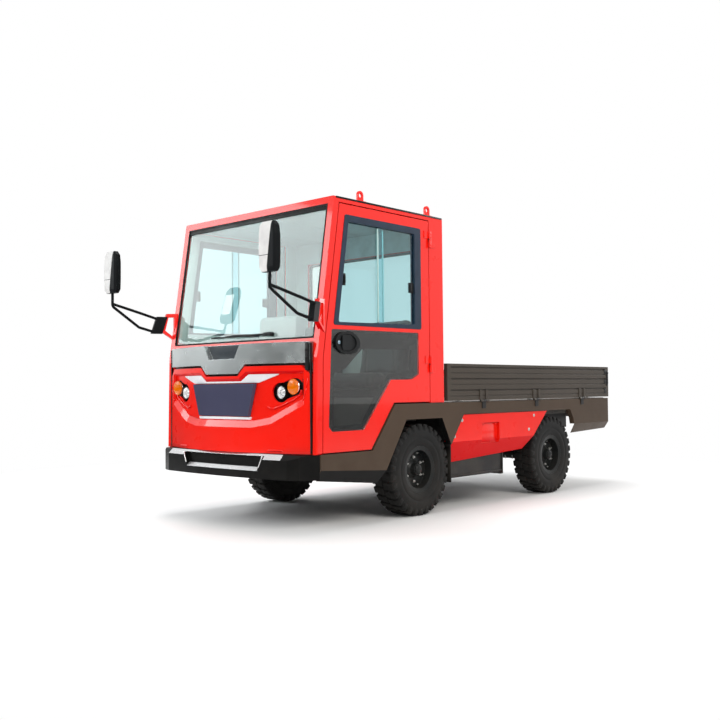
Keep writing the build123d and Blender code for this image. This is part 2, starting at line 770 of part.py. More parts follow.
# Cowl: dark bowed band under the windscreen with a scoop
with BuildPart() as cowl:
    cowl_low = notch_low + 2
    with BuildSketch(Plane.XY.offset(cowl_low)):
        with BuildLine():
            ThreePointArc((-bow, CAB_NOSE), (0, NOSE_Y), (bow, CAB_NOSE))
            Polyline((bow, CAB_NOSE), (bow, FIREWALL_Y - FIT), (-bow, FIREWALL_Y - FIT), (-bow, CAB_NOSE))
        make_face()
    extrude(amount=COWL_Z - cowl_low)
    with BuildSketch(Plane.XZ.offset(900)):
        for side in (-1, 1):
            Polygon(
                (side * notch_foot, cowl_low - 10),
                (side * notch_foot, cowl_low),
                (side * notch_head, WAIST_Z + 2),
                (side * BODY_HALF, WAIST_Z + 2),
                (side * BODY_HALF, cowl_low - 10),
            )
    extrude(amount=300, mode=Mode.SUBTRACT)
    with BuildSketch(Plane.XZ.offset(-NOSE_Y - 40)):
        Polygon((-122, COWL_Z - 87), (122, COWL_Z - 87), (170, COWL_Z + 1), (-170, COWL_Z + 1))
    extrude(amount=100, mode=Mode.SUBTRACT)
save("cowl", cowl.part)

# Doors: hinged at the rear, with a sliding window above a dark fixed pane
door_top = ROOF_Z - ROOF_RAIL - DOOR_GAP
door_rear = DOOR_BACK - DOOR_GAP
door_low = DECK_Z + DOOR_GAP + 2
window_top = ROOF_Z - 100
glass_top = window_top - 40
glass_low = WINDOW_LOW_Z + 25
window_outline = (
    (screen_y(window_top) + 104, window_top),
    (door_rear - 83, window_top),
    (door_rear - 83, WINDOW_LOW_Z + 5),
    (screen_y(WINDOW_LOW_Z) + 104, WINDOW_LOW_Z),
)
pane_outline = (
    (screen_y(PANE_TOP_Z) + 92, PANE_TOP_Z),
    (door_rear - 111, PANE_TOP_Z + 7),
    (door_rear - 111, 905),
    (door_rear - 183, 873),
    (-296, 871),
    (-550, 571),
    (CAB_NOSE + 128, 571),
    (CAB_NOSE + 100, 600),
)
glass_outline = (
    (screen_y(glass_top) + 141, glass_top),
    (door_rear - 145, glass_top),
    (door_rear - 147, glass_low + 8),
    (screen_y(glass_low) + 141, glass_low - 7),
)
hinge_rows = (WAIST_Z + 4, ROOF_Z - 159)
door_x = BODY_HALF - DOOR_THICK
with BuildPart() as door:
    with BuildSketch(Plane.YZ.offset(door_x)):
        Polygon(
            (CAB_NOSE + PILLAR + DOOR_GAP, SILL_Z + DOOR_GAP),
            (BEND_Y + PILLAR + DOOR_GAP, BEND_Z),
            (screen_y(door_top) + PILLAR + DOOR_GAP, door_top),
            (door_rear, door_top),
            (door_rear, door_low),
            (-270, door_low),
            (-486, SILL_Z + DOOR_GAP),
        )
        with BuildSketch(mode=Mode.PRIVATE) as window_hole:
            Polygon(*window_outline)
            fillet(window_hole.vertices(), 14)
        add(window_hole.sketch, mode=Mode.SUBTRACT)
        with BuildSketch(mode=Mode.PRIVATE) as pane_hole:
            Polygon(*pane_outline)
            fillet(pane_hole.vertices(), 14)
        add(pane_hole.sketch, mode=Mode.SUBTRACT)
    extrude(amount=DOOR_THICK)
    for z in hinge_rows:
        with BuildSketch(Plane.YZ.offset(BODY_HALF)):
            with Locations((door_rear - 21, z + 29)):
                Rectangle(50, 48)
        extrude(amount=5)
        with Locations((BODY_HALF + 10, DOOR_BACK - 3, z + 29)):
            Cylinder(9, 48)
            Cylinder(5 + RUN_GAP, 48, mode=Mode.SUBTRACT)
save_pair("door", door.part, "_shell")
with BuildPart() as door_hinges:
    for z in hinge_rows:
        with BuildSketch(Plane.YZ.offset(BODY_HALF)):
            with Locations((DOOR_BACK + 24, z - 29)):
                Rectangle(52, 48)
        extrude(amount=5)
        with Locations((BODY_HALF + 10, DOOR_BACK - 3, z - 29)):
            Cylinder(9, 48)
            Cylinder(5, 76, align=(Align.CENTER, Align.CENTER, Align.MIN))
    mirror(about=Plane.YZ)
save("door_hinges", door_hinges.part)
with BuildPart() as window_frame:
    with BuildSketch(Plane.YZ.offset(door_x + 3)):
        add(window_hole.sketch)
        offset(amount=-FIT)
        with BuildSketch(mode=Mode.PRIVATE) as glass_hole:
            Polygon(*glass_outline)
            fillet(glass_hole.vertices(), 12)
        add(glass_hole.sketch, mode=Mode.SUBTRACT)
    extrude(amount=DOOR_THICK)
    with BuildSketch(Plane.YZ.offset(door_x + 14)):
        with BuildSketch(mode=Mode.PRIVATE) as track:
            Polygon(*glass_outline)
            offset(amount=8, kind=Kind.INTERSECTION)
        add(track.sketch)
    extrude(amount=17, mode=Mode.SUBTRACT)
save_pair("door", window_frame.part, "_window_frame")
meeting_y = (screen_y(glass_top) + door_rear) / 2 - 9
with BuildPart() as door_glass:
    for depth, front_pane in ((15, True), (24, False)):
        with BuildSketch(Plane.YZ.offset(door_x + depth)):
            add(track.sketch)
            offset(amount=-FIT)
            if front_pane:
                with Locations((meeting_y + 30, glass_low)):
                    Rectangle(1000, 2 * ROOF_Z, align=(Align.MIN, Align.CENTER), mode=Mode.SUBTRACT)
            else:
                with Locations((meeting_y - 30, glass_low)):
                    Rectangle(1000, 2 * ROOF_Z, align=(Align.MAX, Align.CENTER), mode=Mode.SUBTRACT)
        extrude(amount=GLASS)
    with BuildSketch(Plane.YZ.offset(BODY_HALF - 10)):
        add(pane_hole.sketch)
        offset(amount=-FIT)
    extrude(amount=8)
save_pair("door", door_glass.part, "_glass")
handle_place = (CAB_NOSE + 256, PANE_TOP_Z - 77)
with BuildPart() as door_handle:
    with BuildSketch(Plane.YZ.offset(BODY_HALF - 2)):
        with Locations(handle_place):
            Ellipse(104, 67)
    extrude(amount=14)
    with BuildSketch(Plane.YZ.offset(BODY_HALF + 4)):
        with Locations(handle_place):
            Ellipse(74, 50)
    extrude(amount=14, mode=Mode.SUBTRACT)
    with BuildSketch(Plane.YZ.offset(BODY_HALF + 4)):
        with Locations((handle_place[0] - 18, handle_place[1])):
            RectangleRounded(76, 90, 12)
    extrude(amount=16)
save_pair("door", door_handle.part, "_handle")

# Mirrors: looped bracket on the pillar's corner, leaning hinge block, two arms and a tall head
mirror_low = 1446
mirror_top = 1714
bracket_y = screen_y(1240)
bracket_dir = (0.378, -0.926, 0)
bracket_plane = Plane(
    (BODY_HALF - 8, bracket_y + 9, 0),
    x_dir=bracket_dir,
    z_dir=(bracket_dir[1], -bracket_dir[0], 0),
)
block_outline = ((55, 1311), (127, 1311), (163, 1197), (90, 1197))
block_front = bracket_y - 100
# arms: points along the route, as (y, z)
arm_rows = (
    ((block_front, 1298), (block_front - 140, 1332), (MIRROR_Y, 1378)),
    ((block_front - 16, 1208), (block_front - 139, 1235), (MIRROR_Y, 1362), (MIRROR_Y, mirror_low + 20)),
)
# head: height, width, depth
head_rows = (
    (mirror_low, MIRROR_WIDTH - 26, MIRROR_DEPTH - 16),
    (mirror_low + 24, MIRROR_WIDTH - 4, MIRROR_DEPTH - 2),
    (mirror_low + 90, MIRROR_WIDTH, MIRROR_DEPTH),
    (mirror_top - 70, MIRROR_WIDTH, MIRROR_DEPTH),
    (mirror_top - 22, MIRROR_WIDTH - 10, MIRROR_DEPTH - 4),
    (mirror_top, MIRROR_WIDTH - 36, MIRROR_DEPTH - 18),
)
with BuildPart() as mirrors:
    with BuildSketch(bracket_plane):
        Polygon(*block_outline)
    extrude(amount=17, both=True)
    for route in arm_rows:
        with BuildLine(Plane.YZ.offset(MIRROR_X)) as arm:
            FilletPolyline(*route, radius=28)
        with BuildSketch(arm.line ^ 0):
            Circle(9)
        sweep()
    for z, width, depth in head_rows:
        with BuildSketch(Plane.XY.offset(z)):
            with Locations((MIRROR_X, MIRROR_Y)):
                RectangleRounded(width, depth, 14)
    loft(ruled=True)
    mirror(about=Plane.YZ)
save("mirrors", mirrors.part)
with BuildPart() as mirror_brackets:
    with BuildSketch(bracket_plane):
        Polygon((-12, 1138), (100, 1214), (62, 1331), (-12, 1334))
        Polygon((10, 1172), (70, 1218), (48, 1307), (10, 1309), mode=Mode.SUBTRACT)
        Polygon(*block_outline, mode=Mode.SUBTRACT)
    extrude(amount=15, both=True)
    add(side_frame.part, mode=Mode.SUBTRACT)
    mirror(about=Plane.YZ)
save("mirror_brackets", mirror_brackets.part)
with BuildPart() as mirror_glasses:
    with BuildSketch(Plane.XZ.offset(-MIRROR_Y - MIRROR_DEPTH / 2)):
        with Locations((MIRROR_X, (mirror_low + mirror_top) / 2 - 5)):
            RectangleRounded(MIRROR_WIDTH - 32, mirror_top - mirror_low - 114, 14)
    extrude(amount=-3)
    mirror(about=Plane.YZ)
save("mirror_glasses", mirror_glasses.part)

# Lifting eyes welded on the roof rails
with BuildPart() as lifting_eyes:
    for y in (-540, 110):
        with BuildSketch(Plane.YZ.offset(BODY_HALF - 32)):
            with Locations((y, ROOF_Z + 25)):
                SlotCenterToCenter(30, 52, rotation=90)
            with Locations((y, ROOF_Z + 12)):
                Rectangle(52, 24)
            with Locations((y, ROOF_Z - 15)):
                Rectangle(90, 30, mode=Mode.SUBTRACT)
            with Locations((y, ROOF_Z + 38)):
                Circle(14, mode=Mode.SUBTRACT)
        extrude(amount=12)
    mirror(about=Plane.YZ)
save("lifting_eyes", lifting_eyes.part)

# Seats, each a cushion and a leaning back on a plinth
seat_x = INNER_HALF / 2
seat_half = seat_x - 95
seat_low = SEAT_BOX_Z + 60
seat_front = SEAT_BOX_Y + 45
seat_back = CAB_BACK - 83
with BuildPart() as seats:
    with Locations((seat_x, (seat_front + seat_back) / 2 - 5, SEAT_BOX_Z + 30)):
        Box(2 * seat_half - 90, 420, 60)
    with BuildSketch(Plane.YZ.offset(seat_x - seat_half)):
        with BuildLine():
            Polyline((seat_front, seat_low), (seat_front, seat_low + 80))
            ThreePointArc(
                (seat_front, seat_low + 80),
                (seat_front + 9, seat_low + 98),
                (seat_front + 30, seat_low + 105),
            )
            Polyline(
                (seat_front + 30, seat_low + 105),
                (seat_back - 140, seat_low + 85),
                (seat_back - 85, seat_low + 470),
            )
            ThreePointArc(
                (seat_back - 85, seat_low + 470),
                (seat_back - 40, seat_low + 492),
                (seat_back, seat_low + 480),
            )
            Polyline((seat_back, seat_low + 480), (seat_back - 40, seat_low), (seat_front, seat_low))
        make_face()
    extrude(amount=2 * seat_half)
    mirror(about=Plane.YZ)
save("seats", seats.part)

# Dashboard across the firewall, and the steering column standing on the floor
wheel_hub = (seat_x, -560, 1040)
column_dir = (0, 0.342, 0.94)
dash_front = FIREWALL_Y + SHEET + FIT
with BuildPart() as dashboard:
    with BuildSketch(Plane.YZ.offset(-INNER_HALF + FIT)):
        Polygon(
            (dash_front, 860),
            (dash_front, COWL_Z - 3),
            (dash_front + 54, COWL_Z - 3),
            (dash_front + 134, 1050),
            (dash_front + 159, 970),
            (dash_front + 104, 880),
        )
    extrude(amount=2 * (INNER_HALF - FIT))
    with BuildSketch(Plane(wheel_hub, z_dir=column_dir).offset(-30)):
        Circle(34)
    extrude(amount=-700)
    split(bisect_by=Plane.XY.offset(FLOOR_Z), keep=Keep.TOP)
    pod_low = COWL_Z - 50
    with BuildSketch(Plane.YZ.offset(seat_x - 225)):
        with BuildLine():
            Polyline((-850, pod_low), (-835, 1240))
            ThreePointArc((-835, 1240), (-790, 1264), (-745, 1225))
            Polyline((-745, 1225), (-790, pod_low), (-850, pod_low))
        make_face()
    extrude(amount=322)
save("dashboard", dashboard.part)
with BuildPart() as steering_wheel:
    wheel_plane = Plane(wheel_hub, x_dir=(1, 0, 0), z_dir=column_dir)
    with BuildSketch(wheel_plane.offset(-29)):
        Circle(38)
    extrude(amount=34)
    with BuildSketch(wheel_plane.offset(-10)):
        for turn in (90, 210, 330):
            with Locations(Location((0, 0), turn)):
                Rectangle(186, 26, align=(Align.MIN, Align.CENTER))
    extrude(amount=10)
    with BuildSketch(Plane(wheel_hub, x_dir=(1, 0, 0), z_dir=(0, 0.94, -0.342))):
        with Locations((186, 0)):
            RegularPolygon(15, 8)
    revolve(axis=Axis(wheel_hub, column_dir))
save("steering_wheel", steering_wheel.part)

# Bed: deck sheet on cross bearers and two sills over the rails, with a rear beam
with BuildPart() as bed_deck:
    inner = BED_HALF - SKIRT_DEPTH
    gate_in = BED_HALF - GATE_THICK
    deck_front = BED_FRONT + HEADBOARD_THICK
    with BuildSketch(Plane.XY.offset(DECK_Z)):
        with Locations((0, deck_front)):
            Rectangle(2 * gate_in - 4, BED_REAR - GATE_THICK - 4 - deck_front, align=(Align.CENTER, Align.MIN))
    extrude(amount=DECK_SHEET)
    bearer_pitch = (BED_REAR - 430 - deck_front) / 5
    for row in range(6):
        with Locations((0, deck_front + 25 + row * bearer_pitch, DECK_Z - 20)):
            Box(2 * inner, 50, 40)
    with BuildSketch(Plane.XY.offset(RAIL_TOP)):
        for x in (-RAIL_X, RAIL_X):
            with Locations((x, deck_front)):
                Rectangle(RAIL_WIDTH, BED_REAR - 100 - deck_front, align=(Align.CENTER, Align.MIN))
    extrude(amount=DECK_Z - RAIL_TOP)
    with Locations((0, BED_REAR - 30, DECK_Z - 80)):
        Box(2 * inner, 40, 160)
save("bed_deck", bed_deck.part)

# Headboard behind the cab, its foot on the first cross bearer
with BuildPart() as headboard:
    with BuildSketch(Plane.XZ.offset(-deck_front)):
        with Locations((0, DECK_Z + DECK_SHEET)):
            Rectangle(2 * gate_in, GATE_HEIGHT + 7, align=(Align.CENTER, Align.MIN))
        with Locations((0, DECK_Z + DECK_SHEET)):
            Rectangle(2 * inner - 8, 44, align=(Align.CENTER, Align.MAX))
    extrude(amount=HEADBOARD_THICK)
save("headboard", headboard.part)

# Dropsides and tailgate: ribbed boards with a strap at each hinge
groove_pitch = GATE_HEIGHT * 0.313
# grooves of each plank: drop from the plank's top, height, depth
groove_rows = (
    (24, 12, 10),
    (63, 8, 4),
)
axis_out = 9
axis_z = GATE_FOOT - 5


def gate_section(outer):
    """Board section of three planks, each with a deep and a shallow groove in its outer face."""
    with BuildSketch() as board:
        with Locations((outer - GATE_THICK / 2, GATE_FOOT + GATE_HEIGHT / 2)):
            Rectangle(GATE_THICK, GATE_HEIGHT)
        for plank in range(3):
            for drop, tall, deep in groove_rows:
                with Locations((outer, GATE_FOOT + GATE_HEIGHT - drop - plank * groove_pitch)):
                    Rectangle(2 * deep, tall, mode=Mode.SUBTRACT)
    return board.sketch


hinge_pitch = (BED_REAR - BED_FRONT) * 0.304
hinge_middle = (BED_REAR + BED_FRONT) / 2 - 10.5
side_hinges = (hinge_middle - hinge_pitch, hinge_middle, hinge_middle + hinge_pitch)
tail_hinges = (-BED_HALF + 274, 0, BED_HALF - 274)
gate_front = BED_FRONT + 20
with BuildPart() as dropside:
    with BuildSketch(Plane.XZ.offset(-BED_REAR + 40)):
        add(gate_section(BED_HALF))
    extrude(amount=BED_REAR - gate_front - 80)
    for y in (gate_front + 20, BED_REAR - 20):
        with Locations((BED_HALF - GATE_THICK / 2, y, GATE_FOOT + GATE_HEIGHT / 2)):
            Box(GATE_THICK, 40, GATE_HEIGHT)
    for y in side_hinges:
        for side in (-1, 1):
            with BuildSketch(Plane.XZ.offset(-y - side * 36 - 14)):
                with Locations((BED_HALF + axis_out, axis_z)):
                    Circle(8)
                with Locations((BED_HALF + 3, axis_z + 38)):
                    Rectangle(6, 76)
                with Locations((BED_HALF + axis_out, axis_z)):
                    Circle(4 + RUN_GAP, mode=Mode.SUBTRACT)
            extrude(amount=28)
save_pair("dropside", dropside.part)
with BuildPart() as tailgate:
    with BuildSketch(Plane.YZ.offset(-gate_in + 46)):
        add(gate_section(BED_REAR))
    extrude(amount=2 * gate_in - 92)
    for x in (-gate_in + 26, gate_in - 26):
        with Locations((x, BED_REAR - GATE_THICK / 2, GATE_FOOT + GATE_HEIGHT / 2)):
            Box(40, GATE_THICK, GATE_HEIGHT)
    for x in tail_hinges:
        for side in (-1, 1):
            with BuildSketch(Plane.YZ.offset(x + side * 36 - 14)):
                with Locations((BED_REAR + axis_out, axis_z)):
                    Circle(8)
                with Locations((BED_REAR + 3, axis_z + 38)):
                    Rectangle(6, 76)
                with Locations((BED_REAR + axis_out, axis_z)):
                    Circle(4 + RUN_GAP, mode=Mode.SUBTRACT)
            extrude(amount=28)
save("tailgate", tailgate.part)

# Fixed hinge lugs with their pins, on the skirts and on the rear beam
with BuildPart() as gate_hinges:
    for y in side_hinges:
        with BuildSketch(Plane.XZ.offset(-y - 21)):
            with Locations((BED_HALF + axis_out, axis_z)):
                Circle(8)
            with Locations((BED_HALF + 3, axis_z - 27)):
                Rectangle(6, 50)
        extrude(amount=42)
        with BuildSketch(Plane.XZ.offset(-y - 48)):
            with Locations((BED_HALF + axis_out, axis_z)):
                Circle(4)
        extrude(amount=96)
    mirror(about=Plane.YZ)
    for x in tail_hinges:
        with BuildSketch(Plane.YZ.offset(x - 21)):
            with Locations((BED_REAR + axis_out, axis_z)):
                Circle(8)
            with Locations((BED_REAR - 2, axis_z - 27)):
                Rectangle(16, 50)
        extrude(amount=42)
        with BuildSketch(Plane.YZ.offset(x - 48)):
            with Locations((BED_REAR + axis_out, axis_z)):
                Circle(4)
        extrude(amount=96)
save("gate_hinges", gate_hinges.part)

# Tail lamps on the rear beam and a towing jaw on the rear cross member
with BuildPart() as tail_lamps:
    with BuildSketch(Plane.XZ.offset(-BED_REAR + 10)):
        with Locations((BED_HALF - 124, DECK_Z - 95)):
            RectangleRounded(130, 70, 12)
    extrude(amount=-14)
    mirror(about=Plane.YZ)
save("tail_lamps", tail_lamps.part)
with BuildPart() as tow_jaw:
    jaw_y = BED_REAR - 91
    jaw_z = RAIL_TOP - 172
    with Locations((0, jaw_y + 6, jaw_z + 49)):
        Box(120, 12, 186)
    with Locations((0, jaw_y + 46, jaw_z - 30), (0, jaw_y + 46, jaw_z + 30)):
        Box(90, 80, 14)
    with Locations((0, jaw_y + 56, jaw_z)):
        Cylinder(15, 100, mode=Mode.SUBTRACT)
save("tow_jaw", tow_jaw.part)
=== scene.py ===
import bmesh
import bpy
import math
from mathutils import Matrix, Vector


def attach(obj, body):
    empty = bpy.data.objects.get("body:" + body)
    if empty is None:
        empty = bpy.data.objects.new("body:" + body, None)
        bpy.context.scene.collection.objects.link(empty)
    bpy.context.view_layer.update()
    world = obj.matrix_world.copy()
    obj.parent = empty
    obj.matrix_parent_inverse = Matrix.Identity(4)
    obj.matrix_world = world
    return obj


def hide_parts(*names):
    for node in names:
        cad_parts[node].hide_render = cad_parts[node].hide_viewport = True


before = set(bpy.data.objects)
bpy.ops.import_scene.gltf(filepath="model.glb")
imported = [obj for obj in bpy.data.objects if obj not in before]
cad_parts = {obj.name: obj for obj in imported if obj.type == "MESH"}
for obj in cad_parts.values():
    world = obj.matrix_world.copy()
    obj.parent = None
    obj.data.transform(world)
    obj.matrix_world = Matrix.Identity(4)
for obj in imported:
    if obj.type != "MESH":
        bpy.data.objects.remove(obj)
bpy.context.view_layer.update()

# Studio
# A pale floor and a white surround lit by soft boxes, and a camera low at the truck's front left corner.
# Nothing here belongs to the truck.
scene = bpy.context.scene
scene.view_settings.view_transform = "Standard"
camera = bpy.data.objects.new("camera", bpy.data.cameras.new("camera"))
scene.collection.objects.link(camera)
scene.camera = camera
camera.data.lens = 45.418
camera.data.sensor_width = 36
camera_turn = Matrix.Rotation(math.radians(42.36), 4, "Z")
camera_tip = Matrix.Rotation(math.radians(91.765), 4, "X")
camera_lean = Matrix.Rotation(math.radians(-0.527), 4, "Z")
camera_stand = Matrix.Translation((4.354, -5.164, 0.822))
camera.matrix_world = camera_stand @ camera_turn @ camera_tip @ camera_lean


def spot(x, y, z):
    """A point in millimetres from the ground under the middle of the front axle."""
    return Vector((x / 1000, y / 1000 - 0.582, z / 1000))


def node(tree, kind, feeds=None, **settings):
    """A shader node with its settings, then its sockets filled or linked."""
    made = tree.nodes.new(kind)
    for key, value in settings.items():
        setattr(made, key, value)
    for key, value in (feeds or {}).items():
        if isinstance(value, bpy.types.NodeSocket):
            tree.links.new(value, made.inputs[key])
        else:
            made.inputs[key].default_value = value
    return made


def reckon(tree, operation, *values, **settings):
    """One step of arithmetic on shader values."""
    return node(tree, "ShaderNodeMath", dict(enumerate(values)), operation=operation, **settings).outputs[0]


surround = bpy.data.worlds.new("surround")
scene.world = surround
surround.use_nodes = True
air = surround.node_tree
air.nodes.clear()
sight = node(air, "ShaderNodeLightPath").outputs
seen = reckon(air, "MAXIMUM", sight["Is Camera Ray"], sight["Is Glossy Ray"])
seen = reckon(air, "MAXIMUM", seen, sight["Is Transmission Ray"])
fill_light = node(air, "ShaderNodeBackground", {"Color": (0.96, 0.98, 1.0, 1), "Strength": 0.38})
white_wall = node(air, "ShaderNodeBackground", {"Color": (1, 1, 1, 1), "Strength": 1.0})
either = node(air, "ShaderNodeMixShader", {0: seen, 1: fill_light.outputs[0], 2: white_wall.outputs[0]})
node(air, "ShaderNodeOutputWorld", {"Surface": either.outputs[0]})


def soft_box(name, place, aim, width, height, power, colour=(1, 1, 1)):
    """One rectangular studio lamp pointed at a place on the truck."""
    lamp = bpy.data.objects.new(name, bpy.data.lights.new(name, "AREA"))
    scene.collection.objects.link(lamp)
    lamp.data.shape = "RECTANGLE"
    lamp.data.size = width
    lamp.data.size_y = height
    lamp.data.energy = power
    lamp.data.color = colour
    lamp.visible_transmission = False
    lamp.location = place
    lamp.rotation_euler = (Vector(aim) - Vector(place)).to_track_quat("-Z", "Y").to_euler()


soft_box("key_box", (6.5, -2.5, 5.0), (0, 0, 0.9), 4.5, 4.0, 320, (1.0, 0.96, 0.9))
soft_box("front_box", (0.5, -7.0, 3.6), (0, -1.0, 1.0), 4.5, 3.0, 95)
soft_box("screen_box", (-4.6, -4.9, 3.3), (0, -1.4, 1.2), 3.2, 2.4, 124, (0.93, 0.98, 1.0))
soft_box("roof_box", (-0.6, 0.2, 6.2), (0, 0.2, 0), 3.2, 3.6, 260)
soft_box("far_box", (-6.5, 2.5, 4.0), (0, 0.3, 0.9), 4.0, 3.0, 170)
soft_box("rear_box", (1.5, 7.5, 3.6), (0, 1.0, 0.9), 4.0, 3.0, 150)


def made_object(name, shape):
    """Turn a finished bmesh into an object in the scene."""
    mesh = bpy.data.meshes.new(name)
    shape.to_mesh(mesh)
    shape.free()
    made = bpy.data.objects.new(name, mesh)
    scene.collection.objects.link(made)
    return made


def new_finish(name, values):
    """A new material with plain values on its shader; hands back it and its node tree."""
    finish = bpy.data.materials.new(name)
    finish.use_nodes = True
    for socket, value in values.items():
        finish.node_tree.nodes["Principled BSDF"].inputs[socket].default_value = value
    return finish, finish.node_tree


def truck_place(tree):
    """Where on the truck a shaded point lies, in metres."""
    return node(tree, "ShaderNodeTexCoord").outputs["Object"]


def axes(tree, vector):
    """The X, Y and Z of a shader vector."""
    return node(tree, "ShaderNodeSeparateXYZ", {0: vector}).outputs


def remap(tree, value, low, high, to_low=0.0, to_high=1.0):
    """A shader value stretched from one range to another and held at its ends."""
    feeds = {"Value": value, "From Min": low, "From Max": high, "To Min": to_low, "To Max": to_high}
    return node(tree, "ShaderNodeMapRange", feeds).outputs[0]


# A card bends from the truck's right round its nose, dark waist high and, in front, above that too;
# only reflections show it
card_shape = bmesh.new()
card_foot = Vector((-6.28, 0.08, 0.0))
card_edge = [card_shape.verts.new(card_foot + Vector((0, 0, rise))) for rise in (0.0, 1.0, 2.4)]
card_sides = [card_shape.edges.new(pair) for pair in zip(card_edge, card_edge[1:])]
bmesh.ops.spin(
    card_shape,
    geom=card_edge + card_sides,
    cent=(0, -1.6, 0),
    axis=(0, 0, 1),
    dvec=(0, 0, 0),
    angle=math.radians(118),
    steps=40,
    use_merge=False,
)
card = made_object("dark_card", card_shape)
card.visible_camera = False
card.visible_diffuse = False
card.visible_transmission = False
card.visible_shadow = False
card_paint, tree = new_finish("card_paint", {})
card_place = axes(tree, truck_place(tree))
paling = remap(tree, card_place["Y"], -7.9, -4.6, 0.05, 1.0)
rising = remap(tree, card_place["Z"], 0.85, 1.1)
pale_reflection = node(tree, "ShaderNodeMix", {0: rising, 2: 0.03, 3: paling})
glow = node(tree, "ShaderNodeEmission", {"Color": (1, 1, 1, 1), "Strength": pale_reflection.outputs[0]})
tree.links.new(glow.outputs[0], tree.nodes["Material Output"].inputs["Surface"])
card.data.materials.append(card_paint)

# The floor fades to white away from the truck, where the camera sees it
floor_shape = bmesh.new()
bmesh.ops.create_grid(floor_shape, x_segments=2, y_segments=2, size=30)
floor = made_object("floor", floor_shape)
floor_cloth, tree = new_finish(
    "floor_cloth",
    {"Base Color": (0.9, 0.9, 0.9, 1), "Roughness": 0.7, "Specular IOR Level": 0.2},
)
cloth = tree.nodes["Principled BSDF"]
reach = node(tree, "ShaderNodeVectorMath", {0: truck_place(tree)}, operation="LENGTH")
fade = remap(tree, reach.outputs["Value"], 2.2, 4.6)
far_white = node(tree, "ShaderNodeEmission", {"Color": (1, 1, 1, 1), "Strength": 1.0})
blend = node(tree, "ShaderNodeMixShader", {0: fade, 1: cloth.outputs[0], 2: far_white.outputs[0]})
gaze = node(tree, "ShaderNodeLightPath").outputs["Is Camera Ray"]
choice = node(tree, "ShaderNodeMixShader", {0: gaze, 1: cloth.outputs[0], 2: blend.outputs[0]})
tree.links.new(choice.outputs[0], tree.nodes["Material Output"].inputs["Surface"])
floor.data.materials.append(floor_cloth)

# Chassis, axles and springs
# Welded box rails, a forged front beam with its knuckles, a driven rear axle and leaf springs, all sprayed
# satin black. The springs are clamped to their axle pads by U-bolts with plain nuts.


def new_group(name, takes, gives):
    """An empty shader node group with its named sockets; hands back its inlet and outlet."""
    group = bpy.data.node_groups.new(name, "ShaderNodeTree")
    for label, kind in takes.items():
        group.interface.new_socket(name=label, in_out="INPUT", socket_type="NodeSocket" + kind)
    for label, kind in gives.items():
        group.interface.new_socket(name=label, in_out="OUTPUT", socket_type="NodeSocket" + kind)
    inlet = group.nodes.new("NodeGroupInput")
    outlet = group.nodes.new("NodeGroupOutput")
    return group, inlet.outputs, outlet.inputs


# Rounded corners and a bright line along them: partly wear from handling, partly a painted highlight
edge_rub_and_highlight, inlet, outlet = new_group("edge_rub_and_highlight", {"Width": "Float"}, {"Normal": "Vector", "Rub_and_highlight": "Float"})
rounded = node(edge_rub_and_highlight, "ShaderNodeBevel", {"Radius": inlet["Width"]}, samples=4).outputs["Normal"]
flat = node(edge_rub_and_highlight, "ShaderNodeNewGeometry").outputs["Normal"]
agree = node(edge_rub_and_highlight, "ShaderNodeVectorMath", {0: rounded, 1: flat}, operation="DOT_PRODUCT")
edge_rub_and_highlight.links.new(rounded, outlet["Normal"])
edge_rub_and_highlight.links.new(remap(edge_rub_and_highlight, agree.outputs["Value"], 0.985, 0.8), outlet["Rub_and_highlight"])


def cloudy(tree, place, scale, detail):
    """A cloudy pattern of a given scale and fineness."""
    feeds = {"Vector": place, "Scale": scale, "Detail": detail}
    return node(tree, "ShaderNodeTexNoise", feeds).outputs["Fac"]


# Sprayed film: a faint cloudiness in colour and gloss, and the dimpled skin of stoved paint
spray_film, inlet, outlet = new_group(
    "spray_film",
    {"Place": "Vector", "Colour": "Color", "Gloss": "Float"},
    {"Colour": "Color", "Roughness": "Float", "Height": "Float"},
)
tone = remap(spray_film, cloudy(spray_film, inlet["Place"], 2.3, 3.0), 0.3, 0.7, 0.93, 1.06)
shade = node(spray_film, "ShaderNodeVectorMath", {0: inlet["Colour"], "Scale": tone}, operation="SCALE")
haze = remap(spray_film, cloudy(spray_film, inlet["Place"], 11.0, 5.0), 0.35, 0.7, 0.88, 1.22)
spray_film.links.new(shade.outputs["Vector"], outlet["Colour"])
spray_film.links.new(reckon(spray_film, "MULTIPLY", inlet["Gloss"], haze), outlet["Roughness"])
spray_film.links.new(cloudy(spray_film, inlet["Place"], 260.0, 1.0), outlet["Height"])


def upward(tree):
    """How far a shaded face looks up, from -1 to 1."""
    return axes(tree, node(tree, "ShaderNodeNewGeometry").outputs["Normal"])["Z"]


def mixed(tree, amount, first, second):
    """Two colours mixed by an amount."""
    return node(tree, "ShaderNodeMix", {0: amount, 6: first, 7: second}, data_type="RGBA").outputs[2]


# Dry dust: thickest low down and on ledges, broken into patches and specks
road_dust, inlet, outlet = new_group(
    "road_dust",
    {"Place": "Vector", "Colour": "Color", "Roughness": "Float", "Top": "Float", "Amount": "Float"},
    {"Colour": "Color", "Roughness": "Float"},
)
low = remap(road_dust, axes(road_dust, inlet["Place"])["Z"], inlet["Top"], 0.05)
ledge = remap(road_dust, upward(road_dust), 0.4, 1.0, 0.0, 0.55)
patches = remap(road_dust, cloudy(road_dust, inlet["Place"], 7.0, 6.0), 0.38, 0.68, 0.15, 1.0)
specks = remap(road_dust, cloudy(road_dust, inlet["Place"], 420.0, 2.0), 0.4, 0.6, 0.6, 1.0)
dust_cover = reckon(road_dust, "ADD", low, ledge)
dust_cover = reckon(road_dust, "MULTIPLY", dust_cover, patches)
dust_cover = reckon(road_dust, "MULTIPLY", dust_cover, specks)
dust_cover = reckon(road_dust, "MULTIPLY", dust_cover, inlet["Amount"], use_clamp=True)
matt = node(road_dust, "ShaderNodeMix", {0: dust_cover, 2: inlet["Roughness"], 3: 0.85})
